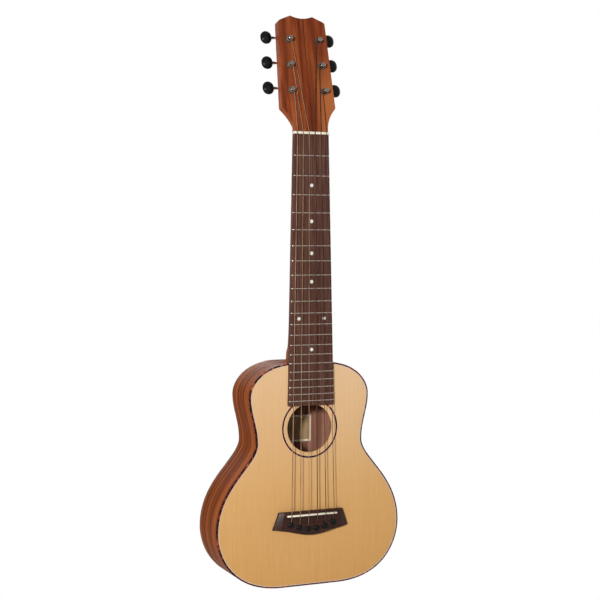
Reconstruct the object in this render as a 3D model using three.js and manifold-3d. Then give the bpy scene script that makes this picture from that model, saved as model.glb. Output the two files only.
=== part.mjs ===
// Guitalele: a six-string small guitar, in millimetres.
// X points to the treble side, Y goes from the front to the back, and Z runs up the neck.
// The origin is at the front edge of the nut, in the middle, on the plane of the fret tops.
import * as THREE from "three";
import { ConvexGeometry } from "three/addons/geometries/ConvexGeometry.js";
import { mergeVertices } from "three/addons/utils/BufferGeometryUtils.js";
import Module from "manifold-3d";

const wasm = await Module();
wasm.setup();

// Driving dimensions of the strings and frets
const scale_length = 433;
const string_count = 6;
const fret_count = 21;
const frets_per_octave = 12;
const join_fret = 16;
const nut_string_spread = 36.2;
const bridge_string_spread = 53.2;
const string_lift_at_nut = 0.4;
const string_lift_at_saddle = 3.4;
const saddle_setback = 2.6;
const string_diameters = [0.7, 0.82, 1.0, 0.75, 0.85, 1.05];

// Driving dimensions of the body
const body_length = 258;
const upper_bout = 148.6;
const waist = 131.8;
const lower_bout = 228;
const upper_bout_drop = 38.1;
const waist_drop = 91;
const lower_bout_drop = 190.1;
const shoulder_flat = 41;
const tail_flat = 68;
const depth_at_neck = 56;
const depth_at_tail = 61.1;
const top_thickness = 2.6;
const back_thickness = 2.4;
const side_thickness = 2;
const binding_width = 1.8;
const binding_height = 3;
const lining_width = 5;
const lining_height = 9;
const shoulder_pull_shares = [0.641, 0.477];
const waist_pull_shares = [0.352, 0.397];
const flank_pull_shares = [0.23, 0.536];
const tail_pull_shares = [0.318, 0.826];

// Sound hole, rosette and the paper inside
const hole_radius = 28;
const hole_below_board = 26.4;
const rosette_inner_radius = 32.3;
const rosette_width = 2.8;
const rosette_depth = 1;
const label_width = 50;
const label_height = 32;
const label_thickness = 0.4;
const label_below_hole = 7.8;

// Blocks, braces and bridge plate
const neck_block_width = 46;
const neck_block_length = 24;
const tail_block_width = 60;
const tail_block_length = 12;
const brace_width = 6;
const brace_height = 9;
const brace_tip_height = 3;
const brace_scallop = 26;
const x_brace_above_bridge = 40.5;
const x_brace_angle = 42;
const upper_brace_drop = 34;
const back_brace_upper_drop = 44;
const back_brace_lower_drop = 172;
const brace_end_gap = 5;
const bridge_plate_thickness = 2;
const bridge_plate_height = 26;
const bridge_plate_top_width = 62;
const bridge_plate_bottom_width = 96;

// Neck, fretboard, nut and head
const nut_width = 42.8;
const nut_thickness = 3;
const nut_rise = 1;
const nut_slot_depth_margin = 0.1;
const board_end_margin = 5.7;
const board_end_width = 56.1;
const board_thickness = 4.8;
const fret_height = 1;
const fret_width = 1.6;
const fret_crown_share = 0.55;
const fret_tang_depth = 0.4;
const fret_end_inset = 0.3;
const neck_depth_at_nut = 14;
const neck_depth_at_heel = 16;
const neck_round_power = 1.2;
const shaft_stations = 4;
const volute_station_shares = [0.12, 0.3, 0.5, 0.7, 0.86, 0.96];
const heel_stations = 7;
const heel_length = 42;
const heel_cap_length = 16;
const heel_cap_width = 14;
const heel_cap_thickness = 2.5;
const heel_top_width = 49;
const heel_front_share = 0.35;
const heel_taper_power = 1.25;
const heel_section_power = 0.75;
const volute_length = 34;
const head_angle = 12.5;
const head_face_drop = 1.2;
const head_thickness = 11.8;
const veneer_thickness = 1.6;
const head_neck_width = 42.2;
const head_shoulder_width = 66.2;
const head_shoulder_rise = 31.6;
const head_throat_width = 42.8;
const head_throat_rise = 19.5;
const head_crown_width = 58;
const head_crown_rise = 134.9;
const head_peak_width = 27.6;
const head_peak_rise = 141.5;
const head_scoop_rise = 138.6;

// Bridge, saddle and bridge pins
const bridge_above_saddle = 3.94;
const bridge_top_width = 78.8;
const bridge_tip_width = 94.4;
const bridge_tip_height = 19.8;
const bridge_belly_height = 27.3;
const bridge_belly_width = 38;
const bridge_belly_round_share = 0.5;
const bridge_thickness = 6.5;
const bridge_tip_thickness = 2;
const bridge_bevel_top = 5;
const bridge_bevel_tip = 8.5;
const saddle_length = 62.3;
const saddle_thickness = 2.4;
const saddle_slot_depth = 3.5;
const saddle_crown = 0.7;
const saddle_flat_share = 0.5;
const outer_pin_setback = 10.5;
const pin_row_bow = 5.9;
const pin_head_radius = 3.3;
const pin_head_height = 2.5;
const pin_crown_share = 0.25;
const pin_shank_radius = 2.3;
const pin_tip_radius = 2.1;
const pin_hole_radius = 2.6;
const pin_slot_start = 1.1;
const pin_slot_width = 1.5;
const string_in_pin_hole = 1.75;
const ball_radius = 1.9;
const ball_end_share = 0.25;
const ball_shoulder_share = 0.5;

// Tuning machines: an open worm that turns a toothed wheel on each post
const lowest_post_rise = 51.2;
const post_pitch = 30.4;
const post_edge_distance = 11.7;
const post_radius = 2.5;
const post_waist_radius = 2.4;
const post_cap_radius = 2.9;
const post_height = 8;
const post_cap_height = 1.8;
const post_cap_bevel_share = 0.25;
const post_hole_radius = 0.8;
const post_hole_height = 5.2;
const ferrule_flange_radius = 4.3;
const ferrule_flange_height = 1;
const ferrule_barrel_radius = 3.7;
const ferrule_barrel_length = 6;
const ferrule_bore_radius = 2.8;
const wheel_teeth = 18;
const tooth_module = 0.6;
const tooth_root_share = 0.23;
const tooth_tip_share = 0.08;
const wheel_width = 3.2;
const wheel_retainer_radius = 2.6;
const wheel_retainer_height = 1.2;
const worm_pitch_radius = 1.8;
const worm_length = 6;
const worm_clearance = 0.12;
const key_axis_behind_head = 4.3;
const key_shaft_radius = 1.25;
const key_collar_radius = 1.9;
const key_collar_length = 1;
const button_gap = 14.3;
const button_length = 13;
const button_height = 14.6;
const button_thickness = 7.5;
const button_profile_shares = [
  [0, 0],
  [0.4, 0],
  [0.72, 0.09],
  [0.94, 0.28],
  [1, 0.5],
  [0.94, 0.72],
  [0.72, 0.91],
  [0.4, 1],
  [0, 1],
];
const plate_thickness = 1.2;
const plate_half_width = 5.9;
const plate_below_post = 9;
const plate_above_worm = 6;
const ear_thickness = 1.2;
const ear_height = 5.6;
const ear_rise = 2.4;
const screw_hole_radius = 1;

// Windings of the strings on their posts
const winding_turns = 2.2;
const winding_gap = 0.45;
const winding_start_height = 1.9;
const winding_clearance = 0.3;

// Fits and how finely round shapes are divided
const glue_gap = 0.2;
const running_gap = 0.2;
const overrun = 20;
const outline_steps = 32;
const hole_sides = 32;
const small_sides = 10;
const gear_steps_per_turn = 8;
const button_sides = 12;
const winding_steps_per_turn = 10;
const string_sides = 6;
const neck_sides = 12;

// Places worked out from the sizes above
const half = (size) => size / 2;
const fretDrop = (fret) => scale_length * (1 - 2 ** (-fret / frets_per_octave));
const body_top_drop = fretDrop(join_fret);
const board_length = fretDrop(fret_count) + board_end_margin;
const board_front = fret_height;
const top_face = fret_height + board_thickness;
const top_inside = top_face + top_thickness;
const body_top = -body_top_drop;
const body_tail = body_top - body_length;
const bodyDepthAt = (z) => depth_at_neck + (depth_at_tail - depth_at_neck) * (body_top - z) / body_length;
const backOutside = (z) => top_face + bodyDepthAt(z);
const backInside = (z) => backOutside(z) - back_thickness;
const tilt = THREE.MathUtils.degToRad(head_angle);
const saddle_drop = scale_length + saddle_setback;
const bridge_top_edge = bridge_above_saddle - saddle_drop;
const bridge_front = top_face - bridge_thickness;
const wheel_pitch_radius = half(wheel_teeth * tooth_module);
const worm_pitch = Math.PI * tooth_module;
const worm_offset = wheel_pitch_radius + worm_pitch_radius;
const key_axis_depth = head_thickness + key_axis_behind_head;

const part = new THREE.Group();
const head = new THREE.Group();
head.position.set(0, head_face_drop, 0);
head.rotation.x = -tilt;
head.updateMatrix();
part.add(head);

// Finishes
const finish = (color, roughness, metalness = 0) => (
  new THREE.MeshStandardMaterial({ color, roughness, metalness })
);
const spruce = finish(0xd9b483, 0.45);
const acacia = finish(0x8a4a28, 0.4);
const mahogany = finish(0x8c4a2a, 0.45);
const rosewood = finish(0x4a332c, 0.6);
const tortoise = finish(0x4c1a12, 0.3);
const bone = finish(0xeee6d2, 0.5);
const cedar = finish(0xb98a5c, 0.7);
const chrome = finish(0xc8c8cc, 0.2, 1);
const black_plastic = finish(0x141414, 0.35);
const bronze = finish(0xa9794a, 0.4, 0.8);
const nylon = finish(0x6b6660, 0.3);
const paper = finish(0xd8d2b8, 0.9);

// Solids from geometry, and geometry from solids
function solid(geometry) {
  const bare = geometry.clone();
  for (const name of Object.keys(bare.attributes)) {
    if (name !== "position") bare.deleteAttribute(name);
  }
  const merged = mergeVertices(bare);
  return new wasm.Manifold(new wasm.Mesh({
    numProp: 3,
    vertProperties: new Float32Array(merged.attributes.position.array),
    triVerts: new Uint32Array(merged.index.array),
  }));
}

function geometryOf(manifold) {
  const mesh = manifold.getMesh();
  const geometry = new THREE.BufferGeometry();
  geometry.setAttribute("position", new THREE.BufferAttribute(mesh.vertProperties, 3));
  geometry.setIndex(new THREE.BufferAttribute(mesh.triVerts, 1));
  return geometry;
}

const join = (geometries) => geometryOf(geometries.map(solid).reduce((all, next) => all.add(next)));
const cut = (geometry, tools) => (
  geometryOf(tools.map(solid).reduce((rest, tool) => rest.subtract(tool), solid(geometry)))
);

function add(name, geometry, material, parent = part) {
  const mesh = new THREE.Mesh(geometry, material);
  mesh.name = name;
  parent.add(mesh);
  return mesh;
}

// A closed skin over rings of equal count, with a fan over each end
function loft(rings) {
  const count = rings[0].length;
  const points = rings.flat();
  const faces = [];
  for (let ring = 0; ring < rings.length - 1; ring++) {
    for (let i = 0; i < count; i++) {
      const a = ring * count + i;
      const b = ring * count + (i + 1) % count;
      faces.push(a, b, b + count, a, b + count, a + count);
    }
  }
  for (const end of [0, rings.length - 1]) {
    const centre = new THREE.Vector3();
    rings[end].forEach((point) => centre.add(point));
    points.push(centre.divideScalar(count));
    for (let i = 0; i < count; i++) {
      const a = end * count + i;
      const b = end * count + (i + 1) % count;
      faces.push(...(end === 0 ? [b, a, points.length - 1] : [a, b, points.length - 1]));
    }
  }
  const geometry = new THREE.BufferGeometry().setFromPoints(points);
  geometry.setIndex(faces);
  return outward(geometry);
}

// Turns the faces over where they point into the solid
function outward(geometry) {
  const position = geometry.attributes.position;
  const index = geometry.index;
  const [a, b, c] = [new THREE.Vector3(), new THREE.Vector3(), new THREE.Vector3()];
  let volume = 0;
  for (let i = 0; i < index.count; i += 3) {
    a.fromBufferAttribute(position, index.getX(i));
    b.fromBufferAttribute(position, index.getX(i + 1));
    c.fromBufferAttribute(position, index.getX(i + 2));
    volume += a.dot(b.cross(c));
  }
  if (volume < 0) {
    for (let i = 0; i < index.count; i += 3) {
      const kept = index.getX(i);
      index.setX(i, index.getX(i + 1));
      index.setX(i + 1, kept);
    }
  }
  return geometry;
}

// A flat piece: an outline in X and Z between two depths, each a number or a function of Z
function slab(shape, near, far, sides = hole_sides) {
  const options = { depth: 1, bevelEnabled: false, curveSegments: half(sides) };
  const geometry = new THREE.ExtrudeGeometry(shape, options);
  geometry.rotateX(Math.PI / 2);
  const position = geometry.attributes.position;
  const depth = (value, z) => (typeof value === "function" ? value(z) : value);
  for (let i = 0; i < position.count; i++) {
    const z = position.getZ(i);
    const back = depth(far, z);
    const front = depth(near, z);
    position.setY(i, back + position.getY(i) * (back - front));
  }
  return geometry;
}

// A bar across X, from a profile of [distance from the nut, depth] points
function bar(profile, length) {
  const shape = new THREE.Shape(profile.map(([drop, depth]) => new THREE.Vector2(drop, depth)));
  const geometry = new THREE.ExtrudeGeometry(shape, { depth: length, bevelEnabled: false });
  geometry.translate(0, 0, -half(length));
  return geometry.rotateY(Math.PI / 2);
}

function box(low, high) {
  const geometry = new THREE.BoxGeometry(high[0] - low[0], high[1] - low[1], high[2] - low[2]);
  return geometry.translate(half(low[0] + high[0]), half(low[1] + high[1]), half(low[2] + high[2]));
}

const rectangle = (left, right, low, high) => new THREE.Shape([
  new THREE.Vector2(left, low),
  new THREE.Vector2(right, low),
  new THREE.Vector2(right, high),
  new THREE.Vector2(left, high),
]);

function disc(x, z, radius) {
  const shape = new THREE.Shape();
  shape.absarc(x, z, radius, 0, 2 * Math.PI);
  return shape;
}

function annulus(x, z, inner, outer) {
  const shape = disc(x, z, outer);
  shape.holes.push(disc(x, z, inner));
  return shape;
}

// A turned piece along Y, from [radius, depth] points
function turned(profile, sides = small_sides) {
  const points = profile.map(([radius, depth]) => new THREE.Vector2(radius, depth));
  const lathe = new THREE.LatheGeometry(points, sides);
  const bare = new THREE.BufferGeometry();
  bare.setAttribute("position", lathe.attributes.position);
  bare.setIndex(lathe.index);
  return outward(mergeVertices(bare));
}

// The corner radius of a bore whose flat sides clear a round piece
const boreAround = (radius) => (radius + running_gap) / Math.cos(Math.PI / small_sides);

// A rod through points, with a radius at each point and mitred corners
function rod(points, radii, sides = string_sides) {
  const rings = [];
  let across = new THREE.Vector3(1, 0, 0);
  points.forEach((point, i) => {
    const before = points[Math.max(i - 1, 0)];
    const after = points[Math.min(i + 1, points.length - 1)];
    const intoPoint = point.clone().sub(before).normalize();
    const outOfPoint = after.clone().sub(point).normalize();
    const along = intoPoint.clone().add(outOfPoint).normalize();
    const run = i === 0 ? outOfPoint : intoPoint;
    across = across.clone().addScaledVector(run, -across.dot(run)).normalize();
    const up = run.clone().cross(across);
    const ring = [];
    for (let side = 0; side < sides; side++) {
      const angle = 2 * Math.PI * side / sides;
      const offset = across.clone().multiplyScalar(Math.cos(angle)).addScaledVector(up, Math.sin(angle));
      offset.addScaledVector(run, -offset.dot(along) / run.dot(along));
      ring.push(point.clone().addScaledVector(offset, radii[i]));
    }
    rings.push(ring);
  });
  return loft(rings);
}

// Body outline, half of it, from the neck to the tail
const edge = new THREE.Path();
const upper_z = body_top - upper_bout_drop;
const waist_z = body_top - waist_drop;
const lower_z = body_top - lower_bout_drop;
edge.moveTo(half(shoulder_flat), body_top);
edge.bezierCurveTo(
  half(shoulder_flat) + shoulder_pull_shares[0] * half(upper_bout - shoulder_flat), body_top,
  half(upper_bout), upper_z + shoulder_pull_shares[1] * upper_bout_drop,
  half(upper_bout), upper_z,
);
edge.bezierCurveTo(
  half(upper_bout), upper_z - waist_pull_shares[0] * (upper_z - waist_z),
  half(waist), waist_z + waist_pull_shares[1] * (upper_z - waist_z),
  half(waist), waist_z,
);
edge.bezierCurveTo(
  half(waist), waist_z - flank_pull_shares[0] * (waist_z - lower_z),
  half(lower_bout), lower_z + flank_pull_shares[1] * (waist_z - lower_z),
  half(lower_bout), lower_z,
);
edge.bezierCurveTo(
  half(lower_bout), lower_z - tail_pull_shares[0] * (lower_z - body_tail),
  half(tail_flat) + tail_pull_shares[1] * half(lower_bout - tail_flat), body_tail,
  half(tail_flat), body_tail,
);

// The same half outline moved inwards by a distance, without its flat ends
function halfEdge(inset) {
  const points = [];
  for (let step = 0; step <= outline_steps; step++) {
    const share = step / outline_steps;
    const along = edge.getTangentAt(share);
    points.push(edge.getPointAt(share).addScaledVector(new THREE.Vector2(along.y, -along.x), inset));
  }
  return points;
}

const mirrored = (points) => points.map((point) => new THREE.Vector2(-point.x, point.y));
const loopAt = (inset) => {
  const right = halfEdge(inset);
  return [...right, ...mirrored(right).reverse()];
};
const plateShape = (inset) => new THREE.Shape(loopAt(inset));

function ringShape(outer_inset, inner_inset) {
  const shape = new THREE.Shape(loopAt(outer_inset));
  shape.holes.push(new THREE.Path(loopAt(inner_inset).reverse()));
  return shape;
}

function halfRingShape(side, inner_inset) {
  const toMiddle = (inset) => [
    new THREE.Vector2(0, body_top - inset),
    ...halfEdge(inset),
    new THREE.Vector2(0, body_tail + inset),
  ];
  const points = [...toMiddle(0), ...toMiddle(inner_inset).reverse()];
  return new THREE.Shape(side > 0 ? points : mirrored(points));
}

// How far both edges of a brace can run inside the linings, from a point on the middle line
function roomAlong(start_z, turn) {
  const direction = new THREE.Vector2(Math.sin(turn), Math.cos(turn));
  const across = new THREE.Vector2(direction.y, -direction.x);
  const wall = loopAt(side_thickness + glue_gap + lining_width);
  const distances = [-half(brace_width), half(brace_width)].flatMap((aside) => {
    const start = new THREE.Vector2(0, start_z).addScaledVector(across, aside);
    return wall.map((corner, i) => {
      const side = wall[(i + 1) % wall.length].clone().sub(corner);
      const offset = corner.clone().sub(start);
      const share = offset.cross(direction) / direction.cross(side);
      const distance = offset.cross(side) / direction.cross(side);
      return share >= 0 && share <= 1 && distance > 0 ? distance : Infinity;
    });
  });
  return Math.min(...distances) - brace_end_gap;
}

// Body shell
const hole_z = -board_length - hole_below_board;
const soundboardShape = plateShape(binding_width + glue_gap);
soundboardShape.holes.push(disc(0, hole_z, hole_radius));
const rosetteGroove = slab(
  annulus(0, hole_z, rosette_inner_radius - glue_gap, rosette_inner_radius + rosette_width + glue_gap),
  top_face - overrun,
  top_face + rosette_depth,
);
const pinPlaces = [...Array(string_count).keys()].map((index) => {
  const share = 1 - 2 * index / (string_count - 1);
  const x = share * half(bridge_string_spread);
  const z = -saddle_drop - outer_pin_setback - pin_row_bow * (1 - share ** 2);
  return { x, z };
});
const pinHoles = pinPlaces.map(({ x, z }) => slab(
  disc(x, z, pin_hole_radius),
  bridge_front - overrun,
  top_inside + overrun,
  small_sides,
));
add("soundboard", cut(slab(soundboardShape, top_face, top_inside), [rosetteGroove, ...pinHoles]), spruce);
add("rosette", slab(
  annulus(0, hole_z, rosette_inner_radius, rosette_inner_radius + rosette_width),
  top_face,
  top_face + rosette_depth,
), tortoise);
add("back_plate", slab(plateShape(binding_width + glue_gap), backInside, backOutside), acacia);
const backBindingNear = (z) => backOutside(z) - binding_height;
add("binding_top", slab(ringShape(0, binding_width), top_face, top_face + binding_height), tortoise);
add("binding_back", slab(ringShape(0, binding_width), backBindingNear, backOutside), tortoise);
for (const [name, side] of [["side_bass", -1], ["side_treble", 1]]) {
  const wall = slab(
    halfRingShape(side, side_thickness),
    top_face + binding_height,
    (z) => backBindingNear(z) - glue_gap,
  );
  add(name, wall, acacia);
}

// Linings, blocks, braces and the paper inside
const lining_outer = side_thickness + glue_gap;
const lining_inner = lining_outer + lining_width;
const backSeat = (z) => backInside(z) - glue_gap;
const backLiningNear = (z) => backSeat(z) - lining_height;
const liningShape = ringShape(lining_outer, lining_inner);
add("lining_top", slab(liningShape, top_inside, top_inside + lining_height), cedar);
add("lining_back", slab(liningShape, backLiningNear, backSeat), cedar);
const roomShape = ringShape(0, lining_inner + glue_gap);
const liningRoom = [
  slab(roomShape, top_face, top_inside + lining_height + glue_gap),
  slab(roomShape, (z) => backLiningNear(z) - glue_gap, (z) => backInside(z) + overrun),
];
function block(name, width, low, high) {
  const whole = slab(rectangle(-half(width), half(width), low, high), top_inside, backSeat);
  add(name, cut(whole, liningRoom), mahogany);
}
const block_top = body_top - side_thickness - glue_gap;
const block_tail = body_tail + side_thickness + glue_gap;
block("neck_block", neck_block_width, block_top - neck_block_length, block_top);
block("tail_block", tail_block_width, block_tail, block_tail + tail_block_length);

// A brace with thin tips, lying from one distance to another along its own length
const braceProfile = (from, to, base, rise) => [
  [from, base],
  [from, base + Math.sign(rise) * brace_tip_height],
  [from + brace_scallop, base + rise],
  [to - brace_scallop, base + rise],
  [to, base + Math.sign(rise) * brace_tip_height],
  [to, base],
];
const x_brace_z = bridge_top_edge + x_brace_above_bridge;
const upper_brace_z = body_top - upper_brace_drop;
const x_turn = THREE.MathUtils.degToRad(x_brace_angle);
const below_upper_brace = upper_brace_z - brace_width - brace_end_gap - x_brace_z;
const upper_leg = Math.min(roomAlong(x_brace_z, x_turn), below_upper_brace / Math.cos(x_turn));
const lower_leg = roomAlong(x_brace_z, Math.PI - x_turn);
const xBraceLeg = (turn) => bar(braceProfile(-upper_leg, lower_leg, top_inside, brace_height), brace_width)
  .rotateY(turn)
  .translate(0, 0, x_brace_z);
add("x_brace", join([xBraceLeg(x_turn), xBraceLeg(-x_turn)]), spruce);
const acrossBrace = (z, base, rise) => {
  const reach = roomAlong(z, Math.PI / 2);
  return bar(braceProfile(-reach, reach, base, rise), brace_width).rotateY(Math.PI / 2).translate(0, 0, z);
};
add("upper_brace", acrossBrace(upper_brace_z, top_inside, brace_height), spruce);
const backBraces = [
  ["back_brace_upper", back_brace_upper_drop],
  ["back_brace_lower", back_brace_lower_drop],
];
for (const [name, drop] of backBraces) {
  const z = body_top - drop;
  add(name, acrossBrace(z, backSeat(z + half(brace_width)), -brace_height), mahogany);
}
const bridge_plate_top = bridge_top_edge - glue_gap;
const bridgePlateShape = new THREE.Shape([
  new THREE.Vector2(-half(bridge_plate_top_width), bridge_plate_top),
  new THREE.Vector2(half(bridge_plate_top_width), bridge_plate_top),
  new THREE.Vector2(half(bridge_plate_bottom_width), bridge_plate_top - bridge_plate_height),
  new THREE.Vector2(-half(bridge_plate_bottom_width), bridge_plate_top - bridge_plate_height),
]);
const plate_inside = top_inside + bridge_plate_thickness;
add("bridge_plate", cut(slab(bridgePlateShape, top_inside, plate_inside), pinHoles), mahogany);
const label_z = hole_z - label_below_hole;
const labelShape = rectangle(
  -half(label_width),
  half(label_width),
  label_z - half(label_height),
  label_z + half(label_height),
);
add("inside_label", slab(labelShape, (z) => backSeat(z) - label_thickness, backSeat), paper);

// Fretboard with its frets
const boardWidthAt = (drop) => nut_width + (board_end_width - nut_width) * drop / board_length;
const boardShape = new THREE.Shape([
  new THREE.Vector2(-half(nut_width), 0),
  new THREE.Vector2(half(nut_width), 0),
  new THREE.Vector2(half(board_end_width), -board_length),
  new THREE.Vector2(-half(board_end_width), -board_length),
]);
const frets = [...Array(fret_count).keys()].map((index) => {
  const drop = fretDrop(index + 1);
  const side = half(fret_width);
  const profile = [
    [drop - side, board_front + fret_tang_depth],
    [drop - side, board_front],
    [drop - side * fret_crown_share, board_front - fret_height * (1 - (1 - fret_crown_share) ** 2)],
    [drop, 0],
    [drop + side * fret_crown_share, board_front - fret_height * (1 - (1 - fret_crown_share) ** 2)],
    [drop + side, board_front],
    [drop + side, board_front + fret_tang_depth],
  ];
  return bar(profile, boardWidthAt(drop) - 2 * fret_end_inset);
});
add("fretboard", join([slab(boardShape, board_front, top_face), ...frets]), rosewood);

// String lines from the saddle to the nut
const strings = string_diameters.map((diameter, index) => {
  const share = 1 - 2 * index / (string_count - 1);
  return {
    number: index + 1,
    diameter,
    nut_x: share * half(nut_string_spread),
    saddle_x: share * half(bridge_string_spread),
    pin: pinPlaces[index],
  };
});

// Nut
const nutBlank = bar([
  [0, top_face],
  [0, -nut_rise],
  [-nut_thickness, -nut_rise],
  [-nut_thickness, top_face],
], nut_width);
const nutSlots = strings.map(({ diameter, nut_x }) => box(
  [nut_x - half(diameter) - running_gap, -overrun, -overrun],
  [nut_x + half(diameter) + running_gap, -string_lift_at_nut + nut_slot_depth_margin, overrun],
));
add("nut", cut(nutBlank, nutSlots), bone);

// Head outline, shared by the veneer and the neck's own wood
const head_start = (nut_thickness + glue_gap) / Math.cos(tilt) + veneer_thickness * Math.tan(tilt);
const headShape = new THREE.Shape();
headShape.moveTo(half(head_neck_width), head_start);
headShape.quadraticCurveTo(
  half(head_throat_width), head_throat_rise,
  half(head_shoulder_width), head_shoulder_rise,
);
headShape.lineTo(half(head_crown_width), head_crown_rise);
headShape.lineTo(half(head_peak_width), head_peak_rise);
headShape.quadraticCurveTo(0, 2 * head_scoop_rise - head_peak_rise, -half(head_peak_width), head_peak_rise);
headShape.lineTo(-half(head_crown_width), head_crown_rise);
headShape.lineTo(-half(head_shoulder_width), head_shoulder_rise);
headShape.quadraticCurveTo(
  -half(head_throat_width), head_throat_rise,
  -half(head_neck_width), head_start,
);
const headHalfWidthAt = (rise) => THREE.MathUtils.mapLinear(
  rise,
  head_shoulder_rise,
  head_crown_rise,
  half(head_shoulder_width),
  half(head_crown_width),
);

// Tuner places: strings 1 to 3 go to the treble side, from the bottom up, and 6 to 4 to the bass side
const tuners = strings.map(({ number }) => {
  const side = number <= half(string_count) ? 1 : -1;
  const row = side > 0 ? number - 1 : string_count - number;
  const rise = lowest_post_rise + row * post_pitch;
  const x = side * (headHalfWidthAt(rise) - post_edge_distance);
  return { number, side, rise, x };
});
const ferruleHoles = tuners.map(({ x, rise }) => slab(
  disc(x, rise, boreAround(ferrule_barrel_radius)),
  -overrun,
  overrun,
  small_sides,
));
add("head_veneer", cut(slab(headShape, 0, veneer_thickness, small_sides), ferruleHoles), acacia, head);

// Neck: shaft, volute, heel and head in one piece of wood
const headBackAt = (z) => {
  const rise = (z + head_thickness * Math.sin(tilt)) / Math.cos(tilt);
  return head_face_drop + rise * Math.sin(tilt) + head_thickness * Math.cos(tilt);
};
function neckSection(z, half_width, front, depth) {
  const ring = [];
  for (let i = 0; i <= neck_sides; i++) {
    const angle = Math.PI * i / neck_sides;
    const y = front + depth * Math.sin(angle) ** neck_round_power;
    ring.push(new THREE.Vector3(half_width * Math.cos(angle), y, z));
  }
  return ring;
}
const neckRings = [];
for (let i = 0; i <= shaft_stations; i++) {
  const share = i / shaft_stations;
  const z = body_top * (1 - share);
  const depth = THREE.MathUtils.lerp(neck_depth_at_heel, neck_depth_at_nut, share);
  neckRings.push(neckSection(z, half(boardWidthAt(-z)), top_face, depth));
}
const volute_drop = top_face + neck_depth_at_nut - headBackAt(0);
for (const share of volute_station_shares) {
  const z = share * volute_length;
  const front = top_face + z * Math.tan(tilt);
  const back = headBackAt(z) + volute_drop * (1 - share) ** 2;
  neckRings.push(neckSection(z, half(nut_width) * Math.sqrt(1 - share ** 2), front, back - front));
}
const heel_cap_front = backOutside(body_top) - heel_cap_thickness;
const heelRings = [];
const heel_front = top_face + heel_front_share * neck_depth_at_heel;
for (let i = 0; i <= heel_stations; i++) {
  const share = i / heel_stations;
  const y = THREE.MathUtils.lerp(heel_front, heel_cap_front, share);
  const reach = heel_cap_length + (heel_length - heel_cap_length) * (1 - share) ** 2;
  const width = heel_top_width - (heel_top_width - heel_cap_width) * share ** heel_taper_power;
  heelRings.push(heelSection(y, half(width), reach));
}
function heelSection(y, half_width, reach) {
  const ring = [];
  for (let i = 0; i <= neck_sides; i++) {
    const angle = Math.PI * i / neck_sides;
    const aside = Math.sign(Math.cos(angle)) * Math.abs(Math.cos(angle)) ** heel_section_power;
    const up = Math.sin(angle) ** heel_section_power;
    ring.push(new THREE.Vector3(half_width * aside, y, body_top + reach * up));
  }
  return ring;
}
const headWood = slab(headShape, veneer_thickness + glue_gap, head_thickness, small_sides);
const headTurned = cut(headWood, ferruleHoles).applyMatrix4(head.matrix);
const nutSeat = box(
  [-overrun - nut_width, -overrun, -overrun],
  [overrun + nut_width, top_face, nut_thickness + glue_gap],
);
add("neck", cut(join([loft(neckRings), loft(heelRings), headTurned]), [nutSeat]), mahogany);
const capRing = heelSection(heel_cap_front, half(heel_cap_width), heel_cap_length);
const capShape = new THREE.Shape(capRing.map(({ x, z }) => new THREE.Vector2(x, z)));
add("heel_cap", slab(capShape, heel_cap_front, backOutside(body_top)), rosewood);

// Bridge with a flat middle, bevelled wings and a bowed lower edge
const tip_z = bridge_top_edge - bridge_tip_height;
const belly_z = bridge_top_edge - bridge_belly_height;
const belly_side = half(bridge_belly_width);
const belly_round = belly_side * bridge_belly_round_share;
const bridgeShape = new THREE.Shape();
bridgeShape.moveTo(-half(bridge_top_width), bridge_top_edge);
bridgeShape.lineTo(-half(bridge_tip_width), tip_z);
bridgeShape.bezierCurveTo(-bridge_belly_width, tip_z, -belly_round, belly_z, 0, belly_z);
bridgeShape.bezierCurveTo(belly_round, belly_z, bridge_belly_width, tip_z, half(bridge_tip_width), tip_z);
bridgeShape.lineTo(half(bridge_top_width), bridge_top_edge);

// A wing's bevel is one plane, from its line across the front down to the bridge's thin tip
const wing_past_end_shares = [-1, 2];
function wingCut(side) {
  const top_x = side * (half(bridge_top_width) - bridge_bevel_top);
  const tip_x = side * (half(bridge_tip_width) - bridge_bevel_tip);
  const top = new THREE.Vector3(top_x, bridge_front, bridge_top_edge);
  const tip = new THREE.Vector3(tip_x, bridge_front, tip_z);
  const down = new THREE.Vector3(side * bridge_bevel_tip, bridge_thickness - bridge_tip_thickness, 0);
  const forward = new THREE.Vector3(0, -overrun, 0);
  const points = wing_past_end_shares.flatMap((share) => {
    const inner = top.clone().lerp(tip, share);
    const outer = inner.clone().addScaledVector(down, 2);
    return [inner, outer, inner.clone().add(forward), outer.clone().add(forward)];
  });
  return new ConvexGeometry(points);
}
const slot_half_length = half(saddle_length) + glue_gap;
const slot_half_width = half(saddle_thickness) + glue_gap;
const saddleSlot = box(
  [-slot_half_length, -overrun, -saddle_drop - slot_half_width],
  [slot_half_length, bridge_front + saddle_slot_depth, -saddle_drop + slot_half_width],
);
const bridgeBlank = slab(bridgeShape, bridge_front, top_face, small_sides);
add("bridge", cut(bridgeBlank, [wingCut(-1), wingCut(1), saddleSlot, ...pinHoles]), rosewood);

// Saddle with a crowned top, high enough to carry the strings
const saddle_top = -string_lift_at_saddle + nut_slot_depth_margin;
const saddle_front_edge = saddle_drop - half(saddle_thickness);
const saddle_back_edge = saddle_drop + half(saddle_thickness);
add("saddle", bar([
  [saddle_front_edge, bridge_front + saddle_slot_depth],
  [saddle_front_edge, saddle_top + half(saddle_crown)],
  [saddle_drop - half(saddle_thickness) * saddle_flat_share, saddle_top],
  [saddle_drop, saddle_top],
  [saddle_back_edge, saddle_top + saddle_crown],
  [saddle_back_edge, bridge_front + saddle_slot_depth],
], saddle_length), bone);

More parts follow.
